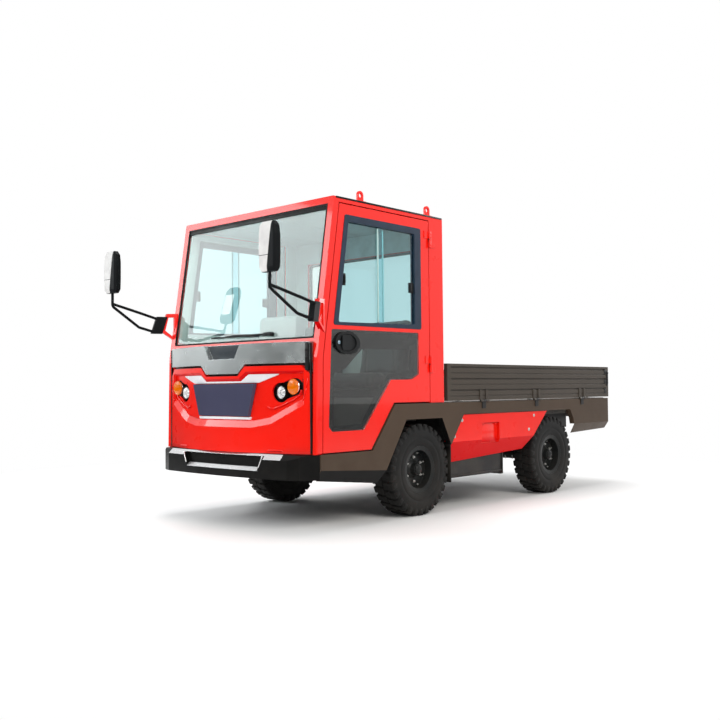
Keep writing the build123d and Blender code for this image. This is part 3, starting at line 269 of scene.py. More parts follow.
road_dust.links.new(mixed(road_dust, dust_cover, inlet["Colour"], (0.29, 0.25, 0.2, 1)), outlet["Colour"])
road_dust.links.new(matt.outputs[0], outlet["Roughness"])


def dust_over(tree, place, colour, roughness, top, amount):
    """Road dust laid over a colour and its roughness, up to a height on the truck."""
    feeds = {"Place": place, "Colour": colour, "Roughness": roughness, "Top": top, "Amount": amount}
    return node(tree, "ShaderNodeGroup", feeds, node_tree=road_dust).outputs


def bumpy(tree, strength, depth, height, normal=None):
    """A skin raised by a pattern, over another skin or rounded corners where they are given."""
    feeds = {"Strength": strength, "Distance": depth, "Height": height}
    if normal is not None:
        feeds["Normal"] = normal
    return node(tree, "ShaderNodeBump", feeds).outputs["Normal"]


def coat(tree, colour, roughness, normal=None):
    """Lead a colour, a roughness and a skin to the material's shader."""
    shader = tree.nodes["Principled BSDF"]
    tree.links.new(colour, shader.inputs["Base Color"])
    tree.links.new(roughness, shader.inputs["Roughness"])
    if normal is not None:
        tree.links.new(normal, shader.inputs["Normal"])


def painted(
    name,
    colour,
    gloss,
    shine=0.3,
    metal=0.0,
    dust=0.25,
    top=0.95,
    rub_and_highlight=0.1,
    bare_and_highlight=(0.3, 0.3, 0.3),
    dimple=0.05,
    corner=0.0022,
):
    """A sprayed finish: colour, gloss, shine, dust, and how far its corners are lightened by wear and painted
    highlight.
    """
    finish, tree = new_finish(name, {"Specular IOR Level": shine, "Metallic": metal})
    place = truck_place(tree)
    feeds = {"Place": place, "Colour": (*colour, 1), "Gloss": gloss}
    film = node(tree, "ShaderNodeGroup", feeds, node_tree=spray_film).outputs
    edge = node(tree, "ShaderNodeGroup", {"Width": corner}, node_tree=edge_rub_and_highlight).outputs
    # corners lightened towards the edge colour: partly wear, partly a painted highlight
    worn_and_highlit = mixed(tree, reckon(tree, "MULTIPLY", edge["Rub_and_highlight"], rub_and_highlight), film["Colour"], (*bare_and_highlight, 1))
    dusty = dust_over(tree, place, worn_and_highlit, film["Roughness"], top, dust)
    skin = bumpy(tree, dimple, 0.001, film["Height"], edge["Normal"])
    coat(tree, dusty["Colour"], dusty["Roughness"], skin)
    return finish


def dress(finish, *names):
    """Give CAD nodes a finish in place of their plain slot colour."""
    for name in names:
        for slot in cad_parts[name].material_slots:
            slot.material = finish


black_paint = painted("black_paint", (0.012, 0.012, 0.013), 0.42, shine=0.2, dust=0.15, rub_and_highlight=0.2)
dress(black_paint, "chassis_frame", "front_axle", "rear_axle", "leaf_springs")
dress(black_paint, "knuckle_left", "knuckle_right", "tie_rod", "tow_jaw", "battery_box")


def set_piece(name, shape, finish, body):
    """Turn a finished bmesh into a named piece that rides on its body."""
    bmesh.ops.remove_doubles(shape, verts=shape.verts, dist=0.000001)
    bmesh.ops.recalc_face_normals(shape, faces=shape.faces)
    piece = made_object(name, shape)
    piece.data.materials.append(finish)
    piece.data.shade_smooth()
    piece.data.set_sharp_from_angle(angle=math.radians(35))
    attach(piece, body)
    return piece


def soften_edges(shape, edges, width):
    """Round edges off over a width."""
    bmesh.ops.bevel(shape, geom=edges, offset=width, segments=2, profile=0.5, affect="EDGES", material=-1)


def bar(shape, start, end, radius, sides=20, tip=None, soften=0.001):
    """A round bar between two points, with its rims softened; tip gives a second radius."""
    along = end - start
    place = Matrix.Translation((start + end) / 2) @ along.to_track_quat("Z", "Y").to_matrix().to_4x4()
    made = bmesh.ops.create_cone(
        shape,
        cap_ends=True,
        segments=sides,
        radius1=radius,
        radius2=radius if tip is None else tip,
        depth=along.length,
        matrix=place,
    )
    caps = {face for vert in made["verts"] for face in vert.link_faces if len(face.verts) == sides}
    soften_edges(shape, list({edge for face in caps for edge in face.edges}), soften)


def block(shape, low, high, soften=0.002, place=None):
    """A box between two corners with all its edges softened; place turns or moves it."""
    middle = Matrix.Translation((low + high) / 2)
    size = Matrix.Diagonal((*[abs(value) for value in high - low], 1))
    made = bmesh.ops.create_cube(shape, size=1, matrix=(place or Matrix()) @ middle @ size)
    soften_edges(shape, list({edge for vert in made["verts"] for edge in vert.link_edges}), soften)


def both_sides(shape):
    """Mirror everything drawn so far across the truck's middle."""
    everything = shape.verts[:] + shape.edges[:] + shape.faces[:]
    bmesh.ops.mirror(shape, geom=everything, matrix=Matrix(), merge_dist=0, axis="X")


zinc = painted("zinc_plate", (0.52, 0.52, 0.5), 0.3, metal=1.0, dust=0.3, rub_and_highlight=0.0, dimple=0.1, corner=0.0006)
wheelbase = 1620
# spring clamps: place of the axle, foot of the U-bolts, top of the spring
clamp_rows = ((0, 262, 378), (wheelbase, 250, 390))
clamps = bmesh.new()
for axle_y, clamp_low, clamp_top in clamp_rows:
    block(clamps, spot(292, axle_y - 52, clamp_top - 18), spot(368, axle_y + 52, clamp_top - 6))
    for leg_x in (297, 363):
        for leg_y in (axle_y - 36, axle_y + 36):
            bar(clamps, spot(leg_x, leg_y, clamp_low), spot(leg_x, leg_y, clamp_top + 14), 0.006)
            bar(clamps, spot(leg_x, leg_y, clamp_top - 6), spot(leg_x, leg_y, clamp_top + 4), 0.011, 6)
both_sides(clamps)
set_piece("spring_clamps", clamps, zinc, "chassis")

# Wheels
# Pressed steel discs in a dark stove paint, bolted to the hubs, with block-tread industrial tyres.
# The tread blocks stand in two staggered rows and run down over the shoulders.
wheel_paint = painted("wheel_paint", (0.006, 0.008, 0.009), 0.3, shine=0.15, dust=0.08, rub_and_highlight=0.2)
dress(wheel_paint, "rim_front_left", "rim_front_right", "rim_rear_left", "rim_rear_right")


def turned(shape, outline, centre, axis, steps):
    """A lathe-turned shape: the outline spun once round the axis."""
    verts = [shape.verts.new(point) for point in outline]
    edges = [shape.edges.new(pair) for pair in zip(verts, verts[1:])]
    bmesh.ops.spin(
        shape,
        geom=verts + edges,
        cent=centre,
        axis=axis,
        dvec=(0, 0, 0),
        angle=math.tau,
        steps=steps,
        use_merge=True,
    )


rubber, tree = new_finish("tyre_rubber", {"Specular IOR Level": 0.16})
place = truck_place(tree)
scuffed = mixed(tree, cloudy(tree, place, 26.0, 6.0), (0.004, 0.004, 0.004, 1), (0.012, 0.012, 0.012, 1))
dusty = dust_over(tree, place, scuffed, 0.62, 0.5, 0.07)
coat(tree, dusty["Colour"], dusty["Roughness"], bumpy(tree, 0.25, 0.0006, cloudy(tree, place, 520.0, 3.0)))

blocks_a_row = 30
# tyre section: distance from the wheel's middle, radius
tyre_section = (
    (66, 131), (70.5, 150.6), (76.6, 151), (79, 160), (84.5, 178), (86.2, 196), (84.8, 199), (85.4, 203),
    (87, 206), (87.2, 226), (86, 241), (83, 258), (79, 273), (71, 281), (52, 284.5), (20, 286),
)
tyre = bmesh.new()
half_section = [Vector((x / 1000, 0, radius / 1000)) for x, radius in tyre_section]
other_half = [Vector((-point.x, 0, point.z)) for point in reversed(half_section)]
closing = [half_section[0]]
turned(tyre, half_section + other_half + closing, (0, 0, 0), (1, 0, 0), 96)
bmesh.ops.remove_doubles(tyre, verts=tyre.verts, dist=0.00001)
tread_block = bmesh.new()
block(tread_block, Vector((0.038, -0.0235, 0.262)), Vector((0.0805, 0.0185, 0.2932)), 0.003)
block(tread_block, Vector((0.003, -0.0165, 0.27)), Vector((0.043, 0.0275, 0.2934)), 0.0022)
block(tread_block, Vector((0.072, -0.0175, 0.25)), Vector((0.0858, 0.0125, 0.286)), 0.004)
block_mesh = bpy.data.meshes.new("tread_block")
tread_block.to_mesh(block_mesh)
tread_block.free()
for row, turn_shift in ((1, 0.0), (-1, 0.5)):
    for count in range(blocks_a_row):
        before = len(tyre.verts)
        tyre.from_mesh(block_mesh)
        tyre.verts.ensure_lookup_table()
        fresh = tyre.verts[before:]
        bmesh.ops.scale(tyre, vec=(row, row, 1), verts=fresh)
        turn = Matrix.Rotation(math.tau * (count + turn_shift) / blocks_a_row, 3, "X")
        bmesh.ops.rotate(tyre, cent=(0, 0, 0), matrix=turn, verts=fresh)

# nut circles: how many, turn of the first, circle, nut end and radius, stud end, radius and sides
nut_circles = (
    (6, 0.0, 0.078, 0.027, 0.0095, 0.034, 0.005, 12),
    (8, 0.5, 0.11, 0.023, 0.007, 0.027, 0.0038, 10),
)
nuts = bmesh.new()
for number, first, circle, nut_end, nut_radius, stud_end, stud_radius, stud_sides in nut_circles:
    for count in range(number):
        turn = Matrix.Rotation(math.tau * (count + first) / number, 3, "X")
        foot = turn @ Vector((0.015, 0, circle))
        bar(nuts, foot, turn @ Vector((nut_end, 0, circle)), nut_radius, 6)
        bar(nuts, foot, turn @ Vector((stud_end, 0, circle)), stud_radius, stud_sides)

hub_cap = bmesh.new()
# hub cap section: distance from the wheel's middle, radius
cap_section = ((59, 31), (64, 31), (69, 28), (73, 20), (75, 8), (75.4, 0))
turned(hub_cap, [Vector((x / 1000, 0, radius / 1000)) for x, radius in cap_section], (0, 0, 0), (1, 0, 0), 40)
for count in range(4):
    turn = Matrix.Rotation(math.tau * (count + 0.5) / 4, 3, "X")
    screw_foot = turn @ Vector((0.0585, 0, 0.0325))
    bar(hub_cap, screw_foot, turn @ Vector((0.0645, 0, 0.0325)), 0.0035, 8, soften=0.0005)
valve = bmesh.new()
bar(valve, Vector((0.012, 0.052, 0.098)), Vector((0.034, 0.05, 0.094)), 0.0045, 14)
bar(valve, Vector((0.034, 0.05, 0.094)), Vector((0.046, 0.049, 0.092)), 0.0038, 14)

half_track = 612.5
axle_height = 295
wheel_places = {
    "front_left": spot(half_track, 0, axle_height),
    "front_right": spot(-half_track, 0, axle_height),
    "rear_left": spot(half_track, wheelbase, axle_height),
    "rear_right": spot(-half_track, wheelbase, axle_height),
}
wheel_pieces = (
    ("tread", tyre, rubber, "tyre"),
    ("wheel_nuts", nuts, zinc, "wheel_paint"),
    ("hub_cap", hub_cap, wheel_paint, "wheel_paint"),
    ("valve", valve, rubber, "tyre"),
)
for corner, middle in wheel_places.items():
    for stem, shape, finish, slot in wheel_pieces:
        copy = shape.copy()
        if middle.x < 0:
            bmesh.ops.rotate(copy, cent=(0, 0, 0), matrix=Matrix.Rotation(math.pi, 3, "Z"), verts=copy.verts)
        bmesh.ops.translate(copy, vec=middle, verts=copy.verts)
        piece = set_piece(f"{stem}_{corner}", copy, finish, f"wheel_{corner}")
        if stem == "tread":
            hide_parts(f"tyre_{corner}")
for stem, shape, finish, slot in wheel_pieces:
    shape.free()

# Skirts and battery covers
# Folded sheet pans in a dark grey-brown spray run along both sides; their down-facing front hems are darkened
# to near-black as painted shade.
# A red cover is screwed over each battery bay, and a small lid in it hides the charging socket.
dark_paint = painted(
    "dark_paint", (0.064, 0.043, 0.029), 0.36, shine=0.12, dust=0.07, rub_and_highlight=0.1, bare_and_highlight=(0.2, 0.17, 0.14)
)
# painted shade: faces that look down on the front hems are darkened to near-black
tree = dark_paint.node_tree
shader = tree.nodes["Principled BSDF"]
topcoat = shader.inputs["Base Color"].links[0].from_socket
below = remap(tree, upward(tree), -0.12, -0.28)
ahead = reckon(tree, "LESS_THAN", axes(tree, truck_place(tree))["Y"], 0.2)
hem_shade = mixed(tree, reckon(tree, "MULTIPLY", below, ahead), topcoat, (0.006, 0.006, 0.006, 1))
tree.links.new(hem_shade, shader.inputs["Base Color"])
dress(dark_paint, "skirt_left", "skirt_right")

# Painted shade: faces that look down get a deeper red and a thinner coat, and the sun has dulled the red on
# the roof
# its pale red edge colour is a painted highlight
red_paint = painted(
    "red_paint", (0.88, 0.011, 0.004), 0.3, shine=0.05, dust=0.04, rub_and_highlight=0.1, bare_and_highlight=(0.95, 0.25, 0.2)
)
tree = red_paint.node_tree
shader = tree.nodes["Principled BSDF"]
shader.inputs["Coat Roughness"].default_value = 0.06
shader.inputs["Coat IOR"].default_value = 1.45
topcoat = shader.inputs["Base Color"].links[0].from_socket
below = remap(tree, upward(tree), -0.06, -0.16)
tree.links.new(mixed(tree, below, topcoat, (0.62, 0.001, 0.002, 1)), shader.inputs["Base Color"])
high = reckon(tree, "GREATER_THAN", axes(tree, truck_place(tree))["Z"], 1.9)
roof = reckon(tree, "MULTIPLY", high, reckon(tree, "GREATER_THAN", upward(tree), 0.5))
lacquer = remap(tree, reckon(tree, "MAXIMUM", below, roof), 0.0, 1.0, 0.85, 0.08)
tree.links.new(lacquer, shader.inputs["Coat Weight"])
sprayed = shader.inputs["Roughness"].links[0].from_socket
weathered = reckon(tree, "MULTIPLY", roof, 0.8)
tree.links.new(reckon(tree, "MAXIMUM", sprayed, weathered), shader.inputs["Roughness"])
dress(red_paint, "battery_panel_left", "battery_panel_right")

# screw section from its seat outwards: height, radius
screw_section = (
    (0, 11.5), (1.6, 11.5), (2.6, 10.4), (3.0, 8.2), (5.6, 6.6), (6.6, 3.2), (5.2, 2.6), (5.2, 0),
)
cover_screws = bmesh.new()
for screw_y, screw_z in ((441, 596), (354, 491), (1355, 605), (1283, 503)):
    seat = spot(705.2, screw_y, screw_z)
    outline = [seat + Vector((out / 1000, 0, radius / 1000)) for out, radius in screw_section]
    turned(cover_screws, outline, seat, (1, 0, 0), 24)
both_sides(cover_screws)
set_piece("cover_screws", cover_screws, zinc, "chassis")

lid = bmesh.new()
block(lid, spot(679, 679, 434), spot(687, 888, 566), 0.003)
block(lid, spot(685, 683, 556), spot(694, 720, 568), 0.002)
block(lid, spot(685, 847, 556), spot(694, 884, 568), 0.002)
both_sides(lid)
set_piece("charging_lids", lid, red_paint, "chassis")
box_edges = bmesh.new()
block(box_edges, spot(639, 374, 214), spot(647, 1006, 224), 0.002)
block(box_edges, spot(560, 1006, 192), spot(650, 1016, 350), 0.002)
block(box_edges, spot(560, 980, 192), spot(650, 1010, 198), 0.002)
both_sides(box_edges)
set_piece("battery_box_edges", box_edges, black_paint, "chassis")

# Cab shell
# Square-tube side frames, cross rails, a pressed roof and a rear wall, welded together and sprayed gloss red.
# Lifting eyes are welded on, rubber drip strips line the roof, and a flap hangs behind each front wheel.
dress(red_paint, "side_frame_left", "side_frame_right", "cross_rails", "roof_panel", "rear_wall")
dress(red_paint, "lifting_eyes", "door_hinges", "mirror_brackets")
floor_paint = painted("floor_paint", (0.2, 0.2, 0.2), 0.5, dust=0.2, rub_and_highlight=0.1)
dress(floor_paint, "cab_floor")

# Moulded grain: small pebbles, and a slow wander in colour and sheen
grain, inlet, outlet = new_group(
    "moulded_grain",
    {"Place": "Vector", "Size": "Float", "Colour": "Color"},
    {"Colour": "Color", "Roughness": "Float", "Height": "Float"},
)
pebble_size = {"Vector": inlet["Place"], "Scale": inlet["Size"]}
pebble = node(grain, "ShaderNodeTexVoronoi", pebble_size, feature="SMOOTH_F1")
wander = cloudy(grain, inlet["Place"], 14.0, 4.0)
fade = remap(grain, wander, 0.3, 0.7, 0.88, 1.12)
toned = node(grain, "ShaderNodeVectorMath", {0: inlet["Colour"], "Scale": fade}, operation="SCALE")
grain.links.new(toned.outputs["Vector"], outlet["Colour"])
grain.links.new(remap(grain, wander, 0.3, 0.7, 0.34, 0.5), outlet["Roughness"])
grain.links.new(pebble.outputs["Distance"], outlet["Height"])


def pebbled(tree, place, size, colour):
    """The moulded grain laid over a colour."""
    feeds = {"Place": place, "Size": size, "Colour": colour}
    return node(tree, "ShaderNodeGroup", feeds, node_tree=grain).outputs


def moulded(name, colour, size=700.0, relief=0.2, corner=0.0016, dust=0.12):
    """A moulded plastic or rubber finish with a pebbled skin."""
    finish, tree = new_finish(name, {"Specular IOR Level": 0.18})
    place = truck_place(tree)
    skin = pebbled(tree, place, size, (*colour, 1))
    edge = node(tree, "ShaderNodeGroup", {"Width": corner}, node_tree=edge_rub_and_highlight).outputs
    dusty = dust_over(tree, place, skin["Colour"], skin["Roughness"], 0.9, dust)
    relief_skin = bumpy(tree, relief, 0.0005, skin["Height"], edge["Normal"])
    coat(tree, dusty["Colour"], dusty["Roughness"], relief_skin)
    return finish


seal_rubber = moulded("seal_rubber", (0.006, 0.006, 0.006), size=900.0)
mud_flaps = bmesh.new()
block(mud_flaps, spot(582, 309, 188), spot(703, 316, 452), 0.002)
block(mud_flaps, spot(582, 305, 420), spot(703, 311, 450), 0.002)
both_sides(mud_flaps)
set_piece("mud_flaps", mud_flaps, seal_rubber, "chassis")
drip_strips = bmesh.new()
block(drip_strips, spot(704, -776, 1935), spot(709, 236, 1946), 0.0015)
both_sides(drip_strips)
set_piece("drip_strips", drip_strips, seal_rubber, "chassis")
hinge_pins = bmesh.new()
for pin_z in (972, 1788):
    bar(hinge_pins, spot(706.5, 95, pin_z - 21), spot(706.5, 95, pin_z + 21), 0.0062, 18)
both_sides(hinge_pins)
set_piece("hinge_pins", hinge_pins, seal_rubber, "chassis")
eye_feet = bmesh.new()
for eye_y in (-540, 110):
    block(eye_feet, spot(662, eye_y - 42, 1946), spot(696, eye_y + 42, 1952), 0.0015)
    block(eye_feet, spot(671, eye_y - 30, 1950), spot(687, eye_y + 30, 1955), 0.002)
both_sides(eye_feet)
set_piece("lifting_eye_feet", eye_feet, red_paint, "chassis")

# Bumper
# A bowed moulding in gloss black with a long open slot. A bright strip lies along its sloped top edge and
# another along the lower lip of the slot.
gloss_black = painted("gloss_black", (0.004, 0.004, 0.004), 0.2, shine=0.08, dust=0.03, rub_and_highlight=0.1, dimple=0.02)
dress(gloss_black, "bumper")
bright_strip = painted("bright_strip", (0.72, 0.73, 0.74), 0.22, metal=0.85, dust=0.05, rub_and_highlight=0.0, dimple=0.02)


def swept(shape, section, centre_y, start, end, steps):
    """A strip whose section follows a bow across the truck's nose, between two angles in degrees."""
    ring = [shape.verts.new(point) for point in section]
    face = shape.faces.new(ring)
    centre = Vector((0, centre_y, 0))
    bmesh.ops.rotate(shape, cent=centre, matrix=Matrix.Rotation(math.radians(start), 3, "Z"), verts=ring)
    bmesh.ops.spin(
        shape,
        geom=[face] + face.edges[:] + ring,
        cent=centre,
        axis=(0, 0, 1),
        dvec=(0, 0, 0),
        angle=math.radians(end - start),
        steps=steps,
        use_merge=False,
    )


bumper_radius = 4.2563
bumper_centre = spot(0, -1085, 0).y + bumper_radius
strips = bmesh.new()
top_strip = [spot(0, -1086, 413), spot(0, -1056, 443), spot(0, -1054.6, 441.6), spot(0, -1084.6, 411.6)]
thin_strip = [spot(0, -1067, 432), spot(0, -1056, 443), spot(0, -1054.6, 441.6), spot(0, -1065.6, 430.6)]
swept(strips, top_strip, bumper_centre, -7.5, -5.1, 8)
swept(strips, thin_strip, bumper_centre, -5.1, 5.1, 24)
swept(strips, top_strip, bumper_centre, 5.1, 6.9, 8)
slot_lip = [
    spot(0, -1085.8, 345.6), spot(0, -1064.8, 366.8), spot(0, -1063.6, 365.6), spot(0, -1084.6, 344.4),
]
swept(strips, slot_lip, bumper_centre, -4.55, 4.55, 24)
for end in (-1, 1):
    bar(strips, spot(end * 344, -1071, 365), spot(end * 373, -1066, 431), 0.0035, 14)
set_piece("bumper_strips", strips, bright_strip, "chassis")

# Front panel
# One pressed red skin with a sunk field and rolled lips round its lamp openings. A pale moulding, a dark bare
# plate and a pale strip are clipped into the field, and the lamps of each side share one dark pocket behind.
dress(red_paint, "fascia")
plate_gloss = painted("plate_gloss", (0.058, 0.06, 0.105), 0.12, dust=0.05, rub_and_highlight=0.0, dimple=0.02)
dress(plate_gloss, "centre_plate")
pale_trim = painted("pale_trim", (0.76, 0.76, 0.79), 0.25, dust=0.02, rub_and_highlight=0.0, dimple=0.02)


def push_out(shape, faces, depth):
    """Push faces out to a thickness; hands back the corners that moved."""
    pushed = bmesh.ops.extrude_face_region(shape, geom=faces)
    moved = [part for part in pushed["geom"] if isinstance(part, bmesh.types.BMVert)]
    bmesh.ops.translate(shape, vec=depth, verts=moved)
    return moved


def plate(shape, outline, depth, soften=0.0012):
    """A flat plate: an outline pushed out to a thickness, its edges softened."""
    ring = [shape.verts.new(point) for point in outline]
    moved = push_out(shape, [shape.faces.new(ring)], depth)
    soften_edges(shape, list({edge for vert in ring + moved for edge in vert.link_edges}), soften)


nose_radius = 1.888


def bow(x):
    """How far the bowed nose falls back, x metres from the middle."""
    return nose_radius - math.sqrt(nose_radius ** 2 - x ** 2)


def bow_back(shape, slices):
    """Cut a flat plate into upright slices and lay it on the nose's bow."""
    for count in range(1, slices):
        across = (-0.7 + 1.4 * count / slices, 0, 0)
        everything = shape.verts[:] + shape.edges[:] + shape.faces[:]
        bmesh.ops.bisect_plane(shape, geom=everything, plane_co=across, plane_no=(1, 0, 0), dist=0.00001)
    for vert in shape.verts:
        vert.co.y += bow(vert.co.x)


# trim and strip outlines: across, height
trim_outline = (
    (-447, 909), (-226, 909), (-166, 869), (166, 869), (226, 909), (447, 909),
    (440, 902), (304, 858), (-304, 858), (-440, 902),
)
strip_outline = ((-246, 656), (246, 656), (240, 640), (-240, 640))
trim = bmesh.new()
plate(trim, [spot(x, -1045, z) for x, z in trim_outline], Vector((0, -0.011, 0)), 0.003)
plate(trim, [spot(x, -1045, z) for x, z in strip_outline], Vector((0, -0.013, 0)), 0.003)
bow_back(trim, 48)
set_piece("front_trim", trim, pale_trim, "chassis")
lips = bmesh.new()
for end in (-1, 1):
    lip_outline = ((378, 458), (486, 458), (478, 470), (388, 470))
    plate(lips, [spot(end * x, -1067, z) for x, z in lip_outline], Vector((0, -0.007, 0)), 0.0034)
bow_back(lips, 48)
set_piece("corner_lips", lips, red_paint, "chassis")
gap_seals = bmesh.new()
block(gap_seals, spot(655, -953, 450), spot(664, -940, 1085), 0.002)
both_sides(gap_seals)
set_piece("nose_gap_seals", gap_seals, seal_rubber, "chassis")

# lamps: across, front face, height
headlamp_at = (453, -989, 800)
indicator_at = (548, -983, 833)
pocket = moulded("pocket_black", (0.006, 0.006, 0.006), size=1200.0)
pockets = bmesh.new()
rim_verts = []
for lamp_x, _, lamp_z in (headlamp_at, indicator_at):
    for depth_y in (-950, -940):
        ring = bmesh.ops.create_circle(
            pockets,
            segments=40,
            radius=0.066,
            matrix=Matrix.Translation(spot(lamp_x, depth_y, lamp_z)) @ Matrix.Rotation(math.pi / 2, 4, "X"),
        )
        rim_verts += ring["verts"]
hull = bmesh.ops.convex_hull(pockets, input=rim_verts)
inside = [part for part in hull["geom_interior"] if isinstance(part, bmesh.types.BMVert)]
bmesh.ops.delete(pockets, geom=inside, context="VERTS")
both_sides(pockets)
set_piece("lamp_pockets", pockets, pocket, "chassis")
nose_y = -1068
lamp_lips = bmesh.new()
# lip and crease lines: across, height
lip_line = ((368, 718), (381, 709), (412, 706), (478, 728), (556, 764), (583, 786), (592, 815))
crease_line = ((612, 752), (622, 775), (634, 822), (643, 880))
for line, behind, thickness in ((lip_line, 17, 0.0055), (crease_line, 0.5, 0.0035)):
    points = [spot(x, nose_y + 1000 * bow(x / 1000) + behind, z) for x, z in line]
    for start, end in zip(points, points[1:]):
        bar(lamp_lips, start, end, thickness, 16)
both_sides(lamp_lips)
set_piece("lamp_lips", lamp_lips, red_paint, "chassis")

# Lamps
# Round moulded lamps: a chromed bowl and bulb behind a clear domed glass, and an amber ribbed lens beside it.
# The headlamp has a dark ring, and both lamps are fixed to the bulkhead through the pocket.


def lens_finish(name, colour, clear):
    """A tinted lamp glass."""
    finish, tree = new_finish(name, {"Transmission Weight": clear, "IOR": 1.49, "Specular IOR Level": 0.3})
    film = cloudy(tree, truck_place(tree), 30.0, 4.0)
    paler = [min(1, 1.12 * value) for value in colour]
    coat(tree, mixed(tree, film, (*colour, 1), (*paler, 1)), remap(tree, film, 0.3, 0.7, 0.02, 0.08))
    return finish


clear_lens = lens_finish("clear_lens", (0.95, 0.96, 0.96), 1.0)
amber_lens = lens_finish("amber_lens", (0.95, 0.21, 0.0), 0.35)
chrome = painted("chrome_bowl", (0.86, 0.87, 0.88), 0.06, metal=1.0, dust=0.0, rub_and_highlight=0.0, dimple=0.01)
# lamp sections from the front face backwards: distance behind the face, radius
ring_section = ((0, 40), (-1, 43), (2, 45), (60, 45), (60, 40), (2, 38.5), (0, 40))
bowl_section = ((6, 38), (22, 33), (36, 22), (42, 10), (43, 0))
glass_section = (
    (3, 39), (0.5, 37), (-3.5, 26), (-6, 12), (-6.6, 0), (-3.6, 0), (-3, 12), (-0.6, 26), (3.4, 36), (6, 39),
    (3, 39),
)


def lamp_part(shape, section, lamp_at, grow, steps, ahead=0):
    """Turn one lamp section about the lamp's own axis, grown from its drawn radius."""
    lamp_x, front_y, lamp_z = lamp_at
    middle = spot(lamp_x, front_y - ahead, lamp_z)
    outline = [middle + Vector((0, back / 1000, radius * grow / 1000)) for back, radius in section]
    turned(shape, outline, middle, (0, 1, 0), steps)


lamp_rings = bmesh.new()
lamp_part(lamp_rings, ring_section, headlamp_at, 0.93, 48)
both_sides(lamp_rings)
set_piece("lamp_rings", lamp_rings, gloss_black, "chassis")
bowls = bmesh.new()
lamp_part(bowls, bowl_section, headlamp_at, 0.93, 48)
lamp_part(bowls, bowl_section, indicator_at, 1.15, 48)
both_sides(bowls)
bowl_piece = set_piece("lamp_bowls", bowls, chrome, "chassis")
thickness = bowl_piece.modifiers.new("sheet", "SOLIDIFY")
thickness.thickness = 0.0012
bulbs = bmesh.new()
for lamp_x, front_y, lamp_z in (headlamp_at, indicator_at):
    bar(bulbs, spot(lamp_x, front_y + 42, lamp_z), spot(lamp_x, front_y + 24, lamp_z), 0.007, 16)
    bar(bulbs, spot(lamp_x, front_y + 24, lamp_z), spot(lamp_x, front_y + 14, lamp_z), 0.006, 16, tip=0.002)
both_sides(bulbs)
set_piece("lamp_bulbs", bulbs, bright_strip, "chassis")
head_glass = bmesh.new()
lamp_part(head_glass, glass_section, headlamp_at, 0.93, 64)
both_sides(head_glass)
head_piece = set_piece("headlamp_glass", head_glass, clear_lens, "chassis")
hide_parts("headlamps")
turn_glass = bmesh.new()
lamp_part(turn_glass, glass_section, indicator_at, 1.17, 64, ahead=2)
for ridge_radius in (14, 24, 33):
    sunk = 0.11 * ridge_radius
    ridge = ((sunk - 5.4, ridge_radius - 3), (sunk - 7, ridge_radius), (sunk - 5, ridge_radius + 3))
    lamp_part(turn_glass, ridge, indicator_at, 1.17, 64, ahead=2)
both_sides(turn_glass)
turn_piece = set_piece("indicator_glass", turn_glass, amber_lens, "chassis")
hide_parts("front_indicators")

# Cowl and wiper
# A bowed moulding in grey metallic lacquer under the windscreen, with a pressed scoop and a rubber end cap
# that holds two jets. A single wiper turns on a spindle to the left of the middle.
cowl_lacquer = painted("cowl_lacquer", (0.56, 0.6, 0.6), 0.24, metal=0.85, dust=0.02, rub_and_highlight=0.0, dimple=0.02)
dress(cowl_lacquer, "cowl")
scoop_paint = painted("scoop_paint", (0.052, 0.06, 0.068), 0.24, shine=0.15, dust=0.02, rub_and_highlight=0.0, dimple=0.02)
scoop = bmesh.new()
scoop_outline = ((-121, 1006), (121, 1006), (167, 1089), (-167, 1089))
plate(scoop, [spot(x, -1027.6, z) for x, z in scoop_outline], Vector((0, -0.0016, 0)), 0.0006)
set_piece("cowl_scoop", scoop, scoop_paint, "chassis")
end_cap = bmesh.new()
block(end_cap, spot(626, -962, 926), spot(652, -948, 1086), 0.003)
for jet_z in (1001, 1044):
    bar(end_cap, spot(639, -958, jet_z), spot(639, -967, jet_z), 0.0085, 24)
    bar(end_cap, spot(639, -962, jet_z), spot(639, -970, jet_z), 0.0045, 18)
set_piece("cowl_end_cap", end_cap, seal_rubber, "chassis")
black_plastic = moulded("black_plastic", (0.008, 0.009, 0.01), size=650.0, relief=0.25)
screen_rake = 0.15734


def screen_y(z):
    """The line of the windscreen pillars at a height, in millimetres."""
    return -940 + (z - 1000) * screen_rake


up_glass = Vector((0, screen_rake, 1)).normalized()
off_glass = Vector((0, -1, screen_rake)).normalized()
glass_turn = Matrix((Vector((1, 0, 0)), up_glass, off_glass)).transposed().to_4x4()
on_screen = Matrix.Translation(spot(0, screen_y(1140) + 8, 1140)) @ glass_turn
wiper = bmesh.new()
block(wiper, Vector((-0.28, 0.004, 0.001)), Vector((0.2, 0.012, 0.009)), 0.0015, on_screen)
block(wiper, Vector((-0.275, 0.0055, 0.008)), Vector((0.195, 0.0105, 0.014)), 0.001, on_screen)
for yoke in (-0.21, -0.1, 0.02, 0.13):
    block(wiper, Vector((yoke - 0.03, 0.003, 0.011)), Vector((yoke + 0.03, 0.013, 0.018)), 0.002, on_screen)
block(wiper, Vector((-0.06, 0.001, 0.016)), Vector((-0.02, 0.015, 0.026)), 0.003, on_screen)
block(wiper, Vector((-0.04, 0.002, 0.018)), Vector((0.27, 0.014, 0.025)), 0.003, on_screen)
block(wiper, Vector((0.23, -0.004, 0.013)), Vector((0.318, 0.02, 0.026)), 0.006, on_screen)
bar(wiper, on_screen @ Vector((0.3, 0.008, 0.0)), on_screen @ Vector((0.3, 0.008, 0.022)), 0.013, 28)
bar(wiper, on_screen @ Vector((0.3, 0.008, 0.02)), on_screen @ Vector((0.3, 0.008, 0.03)), 0.0095, 6)
bar(wiper, on_screen @ Vector((0.262, 0.008, 0.02)), on_screen @ Vector((0.262, 0.008, 0.029)), 0.0075, 20)
